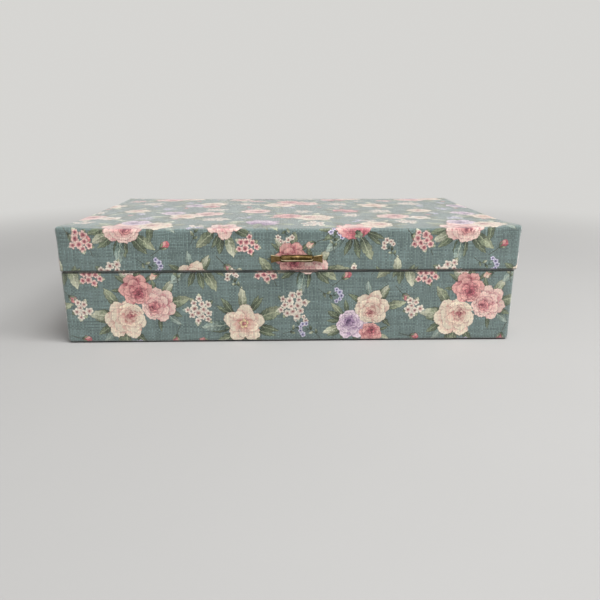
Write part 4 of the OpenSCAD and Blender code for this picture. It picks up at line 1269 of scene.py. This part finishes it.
# The wear of the end plates, the wear and painted glint that their edges add, where those start and how wide
# they are
PLATE_WEAR, EDGE_WEAR_AND_GLINT, EDGE_START, EDGE_WIDTH, LOWER_SHARE = 0.19, 0.35, 0.76, 0.20, 0.6


def new_object(name, data):
    """A mesh, light or camera as an object in the scene."""
    made = bpy.data.objects.new(name, data)
    bpy.context.scene.collection.objects.link(made)
    return made


def solid(name, bm, finish, smooth=True):
    """The shape as an object with its finish."""
    mesh = bpy.data.meshes.new(name)
    bm.to_mesh(mesh)
    bm.free()
    mesh.polygons.foreach_set("use_smooth", [smooth] * len(mesh.polygons))
    mesh.materials.append(finish)
    return new_object(name, mesh)


def finished(name, bm, finish, body, replaced=(), smooth=True):
    """Makes the shape a piece that rides on a body and stands for its CAD nodes."""
    piece = solid(name, bm, finish, smooth)
    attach(piece, body)
    if replaced:
        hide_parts(*replaced)
    return piece


def turned_out(bm):
    """The shape with its faces turned outward."""
    bmesh.ops.recalc_face_normals(bm, faces=bm.faces[:])
    return bm


def meet(a, b):
    return abs(a - b) < CLOSE


def cut(bm, axis, value):
    """Cuts the shape across at one value of an axis."""
    place, normal = [0.0] * 3, [0.0] * 3
    place[axis], normal[axis] = value, 1.0
    bmesh.ops.bisect_plane(bm, geom=bm.verts[:] + bm.edges[:] + bm.faces[:], plane_co=place, plane_no=normal,
                           dist=CLOSE)


def sharpen(bm, degrees):
    """Marks the edges that stay crisp under smooth shading."""
    for edge in bm.edges:
        if len(edge.link_faces) == 2:
            edge.smooth = edge.calc_face_angle(0.0) < math.radians(degrees)


def soft_bevel(bm, edges, radius, segments=4):
    bmesh.ops.bevel(bm, geom=edges, offset=radius, offset_type="OFFSET", segments=segments, profile=0.5,
                    affect="EDGES", clamp_overlap=True, material=-1)


def new_block(low, high):
    """A block between two corners."""
    bm = bmesh.new()
    size = Vector(high) - Vector(low)
    place = Matrix.Translation((Vector(low) + Vector(high)) / 2) @ Matrix.Diagonal((*size, 1.0))
    bmesh.ops.create_cube(bm, size=1.0, matrix=place)
    return bm


def slice_block(bm, low, high, step, axes):
    """Cuts a shape across at even steps along some axes, so that it can be bent."""
    for axis in axes:
        count = max(1, round((high[axis] - low[axis]) / step))
        for i in range(1, count):
            cut(bm, axis, low[axis] + (high[axis] - low[axis]) * i / count)


def covered_card(low, high, lining, axis, sides):
    """A card covered in cloth: soft edges, and broad faces that are a little lower towards their edges.
    axis is the one across the card, and sides are those of its two faces, -1 or 1, that are crowned."""
    bm = new_block(low, high)
    thin = min(b - a for a, b in zip(low, high))
    soft_bevel(bm, bm.edges[:], min(lining.edge, 0.35 * thin))
    across = [i for i in range(3) if i != axis]
    slice_block(bm, low, high, 1.3 * lining.crown_width, across)
    for i in across:
        for near in (0.45 * lining.crown_width, 0.9 * lining.crown_width):
            cut(bm, i, low[i] + near)
            cut(bm, i, high[i] - near)
    for vert in bm.verts:
        for side in sides:
            face = high[axis] if side > 0 else low[axis]
            if meet(vert.co[axis], face):
                edge = min(min(vert.co[i] - low[i], high[i] - vert.co[i]) for i in across)
                vert.co[axis] -= side * lining.crown * (1 - fade(edge, lining.crown_width))
    return turned_out(bm)


def divider_card(low, high, lining, thin_axis):
    """A thin card that stands up, with a round top edge."""
    bm = new_block(low, high)
    top = [edge for edge in bm.edges if all(meet(vert.co.z, high[2]) for vert in edge.verts)
           and meet(edge.verts[0].co[thin_axis], edge.verts[1].co[thin_axis])]
    soft_bevel(bm, top, lining.divider_round, 8)
    slice_block(bm, low, high, DIVIDER_STEPS[0], [1 - thin_axis])
    slice_block(bm, low, (high[0], high[1], high[2] - lining.divider_round), DIVIDER_STEPS[1], [2])
    middle = (low[thin_axis] + high[thin_axis]) / 2
    for vert in bm.verts:
        swell = noise.noise(vert.co * DIVIDER_SWELLS) * lining.crown / 3
        ends = min(vert.co[1 - thin_axis] - low[1 - thin_axis], high[1 - thin_axis] - vert.co[1 - thin_axis])
        side = 1 if vert.co[thin_axis] > middle else -1
        vert.co[thin_axis] -= side * abs(swell) * fade(ends, SWELL_FADE)
    sharpen(bm, 40)
    return turned_out(bm)


def ring_roll(low, high, lining, seed):
    """A round roll of covered foam that lies on its flat underside, with soft uneven ends."""
    bm = bmesh.new()
    length, radius = high.x - low.x, lining.roll_radius
    middle = Vector(((low.x + high.x) / 2, (low.y + high.y) / 2, high.z - radius))
    place = Matrix.Translation(middle) @ Matrix.Rotation(math.pi / 2, 4, "Y")
    bmesh.ops.create_cone(bm, cap_ends=True, segments=ROLL_SIDES, radius1=radius, radius2=radius,
                          depth=length, matrix=place)
    rims = [edge for edge in bm.edges if meet(abs(edge.verts[0].co.x - middle.x), length / 2)
            and meet(edge.verts[0].co.x, edge.verts[1].co.x)]
    soft_bevel(bm, rims, lining.roll_end, 6)
    end = Vector((lining.roll_end, 0, 0))
    slice_block(bm, low + end, high - end, ROLL_RING, [0])
    caps = [face for face in bm.faces if len(face.verts) > ROLL_SIDES / 2]
    inset = CAP_INSET * (radius - lining.roll_end)
    bmesh.ops.inset_individual(bm, faces=caps, thickness=inset, depth=CAP_DEPTH)
    bmesh.ops.poke(bm, faces=caps, offset=CAP_DOME)
    shift = Vector((0, 0, 13.7 * seed))
    for vert in bm.verts:
        out = Vector((0, vert.co.y - middle.y, vert.co.z - middle.z))
        if out.length > 0.001:
            slow = noise.noise(vert.co * SLOW_LUMPS + shift)
            fine = noise.noise(vert.co * FINE_LUMPS + shift)
            lump = lining.roll_lump * (slow + FINE_SHARE * fine - LUMP_DROP)
            vert.co += out.normalized() * lump
        vert.co.z = max(vert.co.z, low.z)
        vert.co.y = max(low.y, min(high.y, vert.co.y))
    return turned_out(bm)


def filled_cover(bm, low, high, slack, stray):
    """A roll after a short cloth simulation: its cover is a little too large for the filling and is glued
    down along the foot. No point moves further than stray, and none leaves the space from low to high."""
    scene = bpy.context.scene
    cover = new_object("cover", bpy.data.meshes.new("cover"))
    bm.to_mesh(cover.data)
    even = cover.modifiers.new("even", "REMESH")
    even.mode, even.voxel_size = "VOXEL", COVER_VOXEL
    rough = cover.data
    cover.data = bpy.data.meshes.new_from_object(cover.evaluated_get(bpy.context.evaluated_depsgraph_get()))
    bpy.data.meshes.remove(rough)
    cover.modifiers.clear()
    glued = cover.vertex_groups.new(name="glued")
    glued.add([vert.index for vert in cover.data.vertices if vert.co.z < low.z + GLUED_FOOT], 1.0, "REPLACE")
    cloth = cover.modifiers.new("cloth", "CLOTH")
    cloth.point_cache.frame_start, cloth.point_cache.frame_end = 1, COVER_FRAMES
    for name, value in (("mass", COVER_MASS), ("use_pressure", True),
                        ("uniform_pressure_force", COVER_PRESSURE), ("shrink_min", -slack),
                        ("vertex_group_mass", "glued")):
        setattr(cloth.settings, name, value)
    cloth.settings.effector_weights.gravity = 0.0
    for frame in range(1, COVER_FRAMES + 1):
        scene.frame_set(frame)
    there = cover.evaluated_get(bpy.context.evaluated_depsgraph_get()).data.vertices
    bm.clear()
    bm.from_mesh(cover.data)
    for vert, end in zip(bm.verts, there):
        move = end.co - vert.co
        vert.co += move * min(1.0, stray / max(move.length, stray / 10))
        vert.co = [max(low[i], min(high[i], vert.co[i])) for i in range(3)]
    scene.frame_set(1)
    blank = cover.data
    bpy.data.objects.remove(cover)
    bpy.data.meshes.remove(blank)
    return bm


def mirror_card(low, high, window_low, window_high, pocket_low, pocket_high, edge):
    """The covered frame round the mirror, with soft edges towards the glass and a pocket behind it."""
    bm = new_block(low, high)
    front, back = (pick(bm.faces, key=lambda f: f.calc_center_median().z) for pick in (min, max))
    for face, corners in ((front, (window_low, window_high)), (back, (pocket_low, pocket_high))):
        bmesh.ops.inset_individual(bm, faces=[face], thickness=MM, depth=0.0)
        stretch_face(face, *corners)
    for corner_low, corner_high in ((window_low, window_high), (pocket_low, pocket_high)):
        front = bmesh.ops.extrude_discrete_faces(bm, faces=[front])["faces"][0]
        stretch_face(front, corner_low, corner_high)
        for vert in front.verts:
            vert.co.z = pocket_low.z
    loops = list(front.edges) + list(back.edges)
    bmesh.ops.delete(bm, geom=[front, back], context="FACES_ONLY")
    bmesh.ops.bridge_loops(bm, edges=loops)
    rim = [e for e in bm.edges if all(meet(v.co.z, low.z) for v in e.verts) and
           all(window_low[i] - RIM_SEARCH <= v.co[i] <= window_high[i] + RIM_SEARCH
               for v in e.verts for i in (0, 1))]
    soft_bevel(bm, rim, edge, 5)
    return turned_out(bm)


def stretch_face(face, low, high):
    """Moves the corners of a level rectangular face to those of a box."""
    middle = face.calc_center_median()
    for vert in face.verts:
        vert.co.x = low.x if vert.co.x < middle.x else high.x
        vert.co.y = low.y if vert.co.y < middle.y else high.y


def mirror_plate(low, high, lap, bevel_width, bevel_depth):
    """The glass: its face is down, with a ground bevel that shows inside the frame."""
    bm = new_block(low, high)
    face = min(bm.faces, key=lambda f: f.calc_center_median().z)
    bmesh.ops.inset_individual(bm, faces=[face], thickness=lap + bevel_width, depth=0.0)
    for vert in bm.verts:
        if meet(vert.co.z, low.z) and vert not in face.verts:
            vert.co.z += bevel_depth
    return turned_out(bm)


def signed_power(value, power):
    return math.copysign(abs(value) ** (2 / power), value)


def pull_bar(brass, middle, front):
    """The bar of the pull: round in its middle, pressed in at its necks and flattened out at its ends."""
    bm = bmesh.new()
    rubbed = bm.verts.layers.float.new(WORN_AND_HIGHLIT)
    made = bmesh.ops.create_grid(bm, x_segments=BAR_SECTIONS, y_segments=BAR_SIDES, size=1.0)["verts"]
    end_flare = (brass.end_height - brass.neck_height) / (1 - brass.neck)
    for index, vert in enumerate(made):
        row, column = divmod(index, BAR_SECTIONS + 1)
        along = 2 * column / BAR_SECTIONS - 1
        angle = math.tau * row / BAR_SIDES
        place = abs(along)
        flat = max(0.0, (place - brass.waist) / (1 - brass.waist))
        to_neck = fade(place - brass.waist, brass.neck - brass.waist)
        height = brass.middle + (brass.neck_height - brass.middle) * to_neck
        height += end_flare * max(0.0, place - brass.neck)
        half_depth = (brass.middle + (brass.end_thickness - brass.middle) * math.sin(math.pi / 2 * flat)) / 2
        power = 2 + 6 * fade(place - brass.waist, 1.6 * (brass.neck - brass.waist))
        bow = brass.bow * (1 - place ** 2) * (1 - flat)
        up = signed_power(math.sin(angle), power)
        vert.co = (middle.x + along * brass.length / 2,
                   front - bow - half_depth * (1 + signed_power(math.cos(angle), power)),
                   middle.z + height / 2 * up - brass.arch * place ** 2)
        # the painted highlights along the bar, and the wear and painted glint on the plates' edges
        vert[rubbed] = highlight_and_wear_share(place, up, brass.neck)
    bmesh.ops.remove_doubles(bm, verts=bm.verts[:], dist=BAR_CLOSE)
    bmesh.ops.edgeloop_fill(bm, edges=[edge for edge in bm.edges if edge.is_boundary])
    turned_out(bm)
    caps = [face for face in bm.faces if len(face.verts) > 8]
    soft_bevel(bm, list({edge for face in caps for edge in face.edges}), BAR_BEVEL, 2)
    return bm


def highlight_and_wear_share(place, up, neck):
    """How bright the brass of the pull is worn and painted, by the place along its half length and the height
    on it: two painted highlights along the bar that meet at the necks, and the edges of the plates, worn and
    given a painted glint."""
    if place < neck:
        spread = 1 - HIGHLIGHTS_MEET * (place / neck) ** HIGHLIGHT_CURVE
        return LEAST_WEAR + sum(strength * math.exp(-((up - height * spread) / width) ** 2)
                                for height, width, strength in (UPPER_HIGHLIGHT, LOWER_HIGHLIGHT))
    edge = max(fade(up - EDGE_START, EDGE_WIDTH), LOWER_SHARE * fade(-up - EDGE_START, EDGE_WIDTH))
    return PLATE_WEAR + EDGE_WEAR_AND_GLINT * edge


def add_stud(bm, brass, x, z, front, back):
    """One stud, from inside the bar's end back through the lid."""
    length = back - front + brass.end_thickness / 2
    place = Matrix.Translation((x, back - length / 2, z)) @ Matrix.Rotation(math.pi / 2, 4, "X")
    made = bmesh.ops.create_cone(bm, cap_ends=True, segments=32, radius1=brass.stud, radius2=brass.stud,
                                 depth=length, matrix=place)["verts"]
    tip = list({edge for vert in made for edge in vert.link_edges
                if all(meet(v.co.y, back) for v in edge.verts)})
    soft_bevel(bm, tip, STUD_BEVEL, 3)


# The operators, in the order they run

# The four walls: side, axis across it and the face that shows
WALLS = (("front", 1, 1), ("back", 1, -1), ("left", 0, 1), ("right", 0, -1))
# The hinges are a little duller than the pull, and evenly worn
HINGE_DULLER, HINGE_WEAR = 0.06, 0.26


def box_settings():
    return bpy.context.scene.jewellery_box


def clothed(name, bm, cloth, body, node, offset):
    """A piece of printed cloth."""
    piece = finished(name, bm, linen(cloth), body, [node])
    lay_print(piece.data, print_repeat(cloth.seed), offset)
    return piece


def linen(cloth):
    split = (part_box("base_cover")[1].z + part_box("lid_cover")[0].z) / 2
    return bpy.data.materials.get("printed_linen") or linen_finish(cloth, split)


def velvet():
    lining = box_settings().lining
    return bpy.data.materials.get("rose_velvet") or velvet_finish("rose_velvet", lining.velvet,
                                                                  lining.velvet_deep, lining.nap)


def satin():
    return bpy.data.materials.get("rose_satin") or satin_finish(box_settings().lining.satin)


def coat(nodes, finish):
    """Gives CAD nodes that are shown as they are a finish."""
    for node in nodes:
        mesh = frame["nodes"][node].data
        mesh.materials.clear()
        mesh.materials.append(finish)


def line_cards(prefix, sides, finish, body, kind):
    """Makes the covered cards of some sides. Each has the axis across its card and the face that shows."""
    for side, axis, face in sides:
        node = f"{prefix}{side}_liner"
        card = covered_card(*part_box(node), box_settings().lining, axis, (face,))
        finished(f"{prefix}{side}_{kind}_lining", card, finish, body, [node])


class JEWELLERY_OT_base_cloth(bpy.types.Operator):
    """Folds the printed cloth round the base"""
    bl_idname = "jewellery_box.base_cloth"
    bl_label = "Base cloth"

    def execute(self, context):
        cloth = box_settings().cloth
        clothed("base_printed_cloth", fold_base_cloth(cloth), cloth, "base", "base_cover", BASE_PRINT_START)
        return {"FINISHED"}


class JEWELLERY_OT_lid_cloth(bpy.types.Operator):
    """Folds the printed cloth over the lid"""
    bl_idname = "jewellery_box.lid_cloth"
    bl_label = "Lid cloth"

    def execute(self, context):
        cloth = box_settings().cloth
        clothed("lid_printed_cloth", fold_lid_cloth(cloth), cloth, "lid", "lid_cover", LID_PRINT_START)
        return {"FINISHED"}


class JEWELLERY_OT_boards(bpy.types.Operator):
    """Finishes the boards and the paper under the base"""
    bl_idname = "jewellery_box.boards"
    bl_label = "Boards and paper"

    def execute(self, context):
        coat([node for node in frame["nodes"] if node.endswith("_board")], fibreboard_finish())
        coat(["underside_sheet"], paper_finish())
        return {"FINISHED"}


class JEWELLERY_OT_lining(bpy.types.Operator):
    """Makes the velvet covered cards of the base"""
    bl_idname = "jewellery_box.lining"
    bl_label = "Velvet lining"

    def execute(self, context):
        line_cards("", (("floor", 2, 1), *WALLS), velvet(), "base", "velvet")
        return {"FINISHED"}


class JEWELLERY_OT_dividers(bpy.types.Operator):
    """Makes the velvet covered dividers"""
    bl_idname = "jewellery_box.dividers"
    bl_label = "Dividers"

    def execute(self, context):
        lining = box_settings().lining
        for name, thin_axis in (("long", 0), ("short", 0), ("left_cross", 1), ("right_cross", 1)):
            node = name + "_divider"
            card = divider_card(*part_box(node), lining, thin_axis)
            finished(name + "_velvet_divider", card, velvet(), "base", [node])
        return {"FINISHED"}


class JEWELLERY_OT_ring_rolls(bpy.types.Operator):
    """Makes the ring rolls and the bed they are glued to"""
    bl_idname = "jewellery_box.ring_rolls"
    bl_label = "Ring rolls"

    def execute(self, context):
        lining = box_settings().lining
        card = covered_card(*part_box("ring_bed"), lining, 2, (1,))
        bed = finished("velvet_ring_bed", card, velvet(), "base", ["ring_bed"])
        rolls = sorted(node for node in frame["nodes"] if node.startswith("ring_roll_"))
        for number, node in enumerate(rolls, 1):
            filling = ring_roll(*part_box(node), lining, number)
            filling = filled_cover(filling, *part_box(node), lining.roll_slack, lining.roll_stray)
            roll = finished(f"velvet_ring_roll_{number}", filling, velvet(), "base", [node])
            smooth = roll.modifiers.new("smooth", "SUBSURF")
            smooth.levels = smooth.render_levels = 1
        return {"FINISHED"}


class JEWELLERY_OT_lid_lining(bpy.types.Operator):
    """Makes the satin covered cards round the inside of the lid"""
    bl_idname = "jewellery_box.lid_lining"
    bl_label = "Lid lining"

    def execute(self, context):
        line_cards("lid_", WALLS, satin(), "lid", "satin")
        return {"FINISHED"}


class JEWELLERY_OT_mirror(bpy.types.Operator):
    """Makes the mirror and the satin covered frame that holds it"""
    bl_idname = "jewellery_box.mirror"
    bl_label = "Mirror"

    def execute(self, context):
        mirror = box_settings().mirror
        low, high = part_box("mirror_frame")
        glass_low, glass_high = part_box("mirror")
        lap, gap = Vector((MIRROR_LAP, MIRROR_LAP, 0.0)), Vector((MIRROR_FIT, MIRROR_FIT, 0.0))
        card = mirror_card(low, high, glass_low + lap, glass_high - lap, glass_low - gap, glass_high + gap,
                           mirror.frame_edge)
        finished("mirror_satin_frame", card, satin(), "lid", ["mirror_frame"], smooth=False)
        plate = mirror_plate(glass_low, glass_high, MIRROR_LAP, mirror.bevel_width, mirror.bevel_depth)
        finished("bevelled_mirror", plate, mirror_finish(mirror.tint), "lid", ["mirror"],
                 smooth=False)
        return {"FINISHED"}


class JEWELLERY_OT_pull(bpy.types.Operator):
    """Makes the brass pull with its studs, and finishes its washers"""
    bl_idname = "jewellery_box.pull"
    bl_label = "Pull"

    def execute(self, context):
        brass = box_settings().brass
        low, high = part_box("pull")
        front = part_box("lid_cover")[0].y
        middle = (low + high) / 2
        bar = pull_bar(brass, middle, front)
        for side in (-1, 1):
            x = middle.x + side * (brass.length / 2 - brass.stud_inset)
            add_stud(bar, brass, x, middle.z, front, high.y)
        sharpen(bar, 35)
        aged = brass_finish("aged_brass", brass, brass.roughness)
        finished("brass_pull", bar, aged, "lid", ["pull"])
        coat(["pull_washers"], steel_finish())
        return {"FINISHED"}


class JEWELLERY_OT_hinges(bpy.types.Operator):
    """Finishes the hinges and their screws"""
    bl_idname = "jewellery_box.hinges"
    bl_label = "Hinges"

    def execute(self, context):
        brass = box_settings().brass
        plated = brass_finish("hinge_brass", brass, brass.roughness + HINGE_DULLER, HINGE_WEAR)
        coat([node for node in frame["nodes"] if "leaf" in node or "hinge_pin" in node], plated)
        return {"FINISHED"}


class JEWELLERY_OT_stage(bpy.types.Operator):
    """Sets up the floor, the lights and the camera"""
    bl_idname = "jewellery_box.stage"
    bl_label = "Stage"

    def execute(self, context):
        stage = box_settings().stage
        floor = pale_floor(stage)
        light_sky(stage)
        for name, place, size, power in LAMPS:
            add_lamp(name, place, size, getattr(stage, power))
        place_camera()
        context.scene.view_settings.view_transform = "Standard"
        return {"FINISHED"}


def pale_floor(stage):
    """A floor that sweeps up into a backdrop well behind the box."""
    bm = bmesh.new()
    reach, bend, start = stage.floor_reach, SWEEP_RADIUS, FLOOR_BACK - SWEEP_RADIUS
    angles = (math.pi / 2 * i / SWEEP_STEPS for i in range(1, SWEEP_STEPS + 1))
    section = [(-reach, 0.0), (start, 0.0)]
    section += [(start + bend * math.sin(a), bend - bend * math.cos(a)) for a in angles]
    section.append((FLOOR_BACK, BACKDROP_TOP))
    made = bmesh.ops.create_grid(bm, x_segments=len(section) - 1, y_segments=8, size=1.0)["verts"]
    for index, vert in enumerate(made):
        row, column = divmod(index, len(section))
        y, z = section[column]
        vert.co = (reach * (1 - row / 4), y, z)
    finish, desk, shader, place = new_finish("pale_floor")
    clouds = desk.noise(place, 6.0, 3.0)
    paint = desk.mix(desk.ease(clouds, *NOISE_SPAN), dimmed(stage.floor, 0.985), stage.floor)
    set_shader(desk, shader, Base_Color=paint, Roughness=0.7, Specular_IOR_Level=0.25)
    away = desk.vector("LENGTH", {0: place}, "Value")
    share = desk.times(desk.ease(away, *PLAIN_REACH), seen_ray(desk))
    plain = desk.node("Emission", {"Color": stage.backdrop, "Strength": 1.0}).outputs[0]
    both = desk.node("MixShader", {0: share, 1: shader.outputs[0], 2: plain})
    desk.put(finish.node_tree.nodes["Material Output"].inputs["Surface"], both.outputs[0])
    return solid("pale_floor", turned_out(bm), finish)


def seen_ray(desk):
    """1 for what the camera sees, directly, in metal or through glass, and 0 for what only gives light."""
    rays = desk.node("LightPath").outputs
    mirrored = desk.sum("MAXIMUM", rays["Is Glossy Ray"], rays["Is Transmission Ray"])
    return desk.sum("MAXIMUM", rays["Is Camera Ray"], mirrored)


def light_sky(stage):
    """Even light from all round. The camera, metal and glass see the plain backdrop colour instead."""
    world = bpy.data.worlds.new("studio")
    world.use_nodes = True
    bpy.context.scene.world = world
    desk = Desk(world.node_tree)
    world.node_tree.nodes.clear()
    light = desk.node("Background", {"Color": (1.0, 1.0, 1.0), "Strength": stage.sky})
    plain = desk.node("Background", {"Color": stage.backdrop, "Strength": 1.0})
    both = desk.node("MixShader", {0: seen_ray(desk), 1: light.outputs[0], 2: plain.outputs[0]})
    desk.node("OutputWorld", {0: both.outputs[0]})


def add_lamp(name, place, size, power):
    """A large soft lamp that points at the box."""
    lamp = bpy.data.lights.new(name, "AREA")
    lamp.shape = "RECTANGLE"
    lamp.size, lamp.size_y = size
    lamp.energy = power
    made = new_object(name, lamp)
    made.location = place
    made.visible_camera = False
    made.rotation_euler = (LAMP_AIM - Vector(place)).to_track_quat("-Z", "Y").to_euler()


def place_camera():
    """The camera where the photo was taken from."""
    lens = bpy.data.cameras.new("camera")
    lens.sensor_width, lens.lens = SENSOR_WIDTH, CAMERA_LENS
    camera = new_object("camera", lens)
    yaw, pitch, roll = CAMERA_TURN
    forward = Vector((math.sin(yaw) * math.cos(pitch), math.cos(yaw) * math.cos(pitch), -math.sin(pitch)))
    turn = forward.to_track_quat("-Z", "Y").to_matrix() @ Matrix.Rotation(roll, 3, "Z")
    camera.location = CAMERA_PLACE
    camera.rotation_euler = turn.to_euler()
    bpy.context.scene.camera = camera


class JEWELLERY_PT_box(bpy.types.Panel):
    """The steps that make the box"""
    bl_idname = "JEWELLERY_PT_box"
    bl_label = "Jewellery box"
    bl_space_type = "VIEW_3D"
    bl_region_type = "UI"
    bl_category = "Jewellery box"

    def draw(self, context):
        for step in STEPS:
            self.layout.operator(step.bl_idname)
        settings = context.scene.jewellery_box
        for group in ("cloth", "lining", "mirror", "brass", "stage"):
            section = self.layout.box()
            section.label(text=group.capitalize())
            values = getattr(settings, group)
            for name in values.__annotations__:
                section.prop(values, name)


STEPS = (JEWELLERY_OT_base_cloth, JEWELLERY_OT_lid_cloth, JEWELLERY_OT_boards, JEWELLERY_OT_lining,
         JEWELLERY_OT_dividers, JEWELLERY_OT_ring_rolls, JEWELLERY_OT_lid_lining, JEWELLERY_OT_mirror,
         JEWELLERY_OT_pull, JEWELLERY_OT_hinges, JEWELLERY_OT_stage)
GROUPS = (ClothSettings, LiningSettings, MirrorSettings, BrassSettings, StageSettings, BoxSettings)


def register():
    for made in (*GROUPS, *STEPS, JEWELLERY_PT_box):
        bpy.utils.register_class(made)
    bpy.types.Scene.jewellery_box = bpy.props.PointerProperty(type=BoxSettings)


def unregister():
    del bpy.types.Scene.jewellery_box
    for made in reversed((*GROUPS, *STEPS, JEWELLERY_PT_box)):
        bpy.utils.unregister_class(made)


def main():
    register()
    for step in STEPS:
        folder, name = step.bl_idname.split(".")
        getattr(getattr(bpy.ops, folder), name)()


if __name__ == "__main__":
    main()
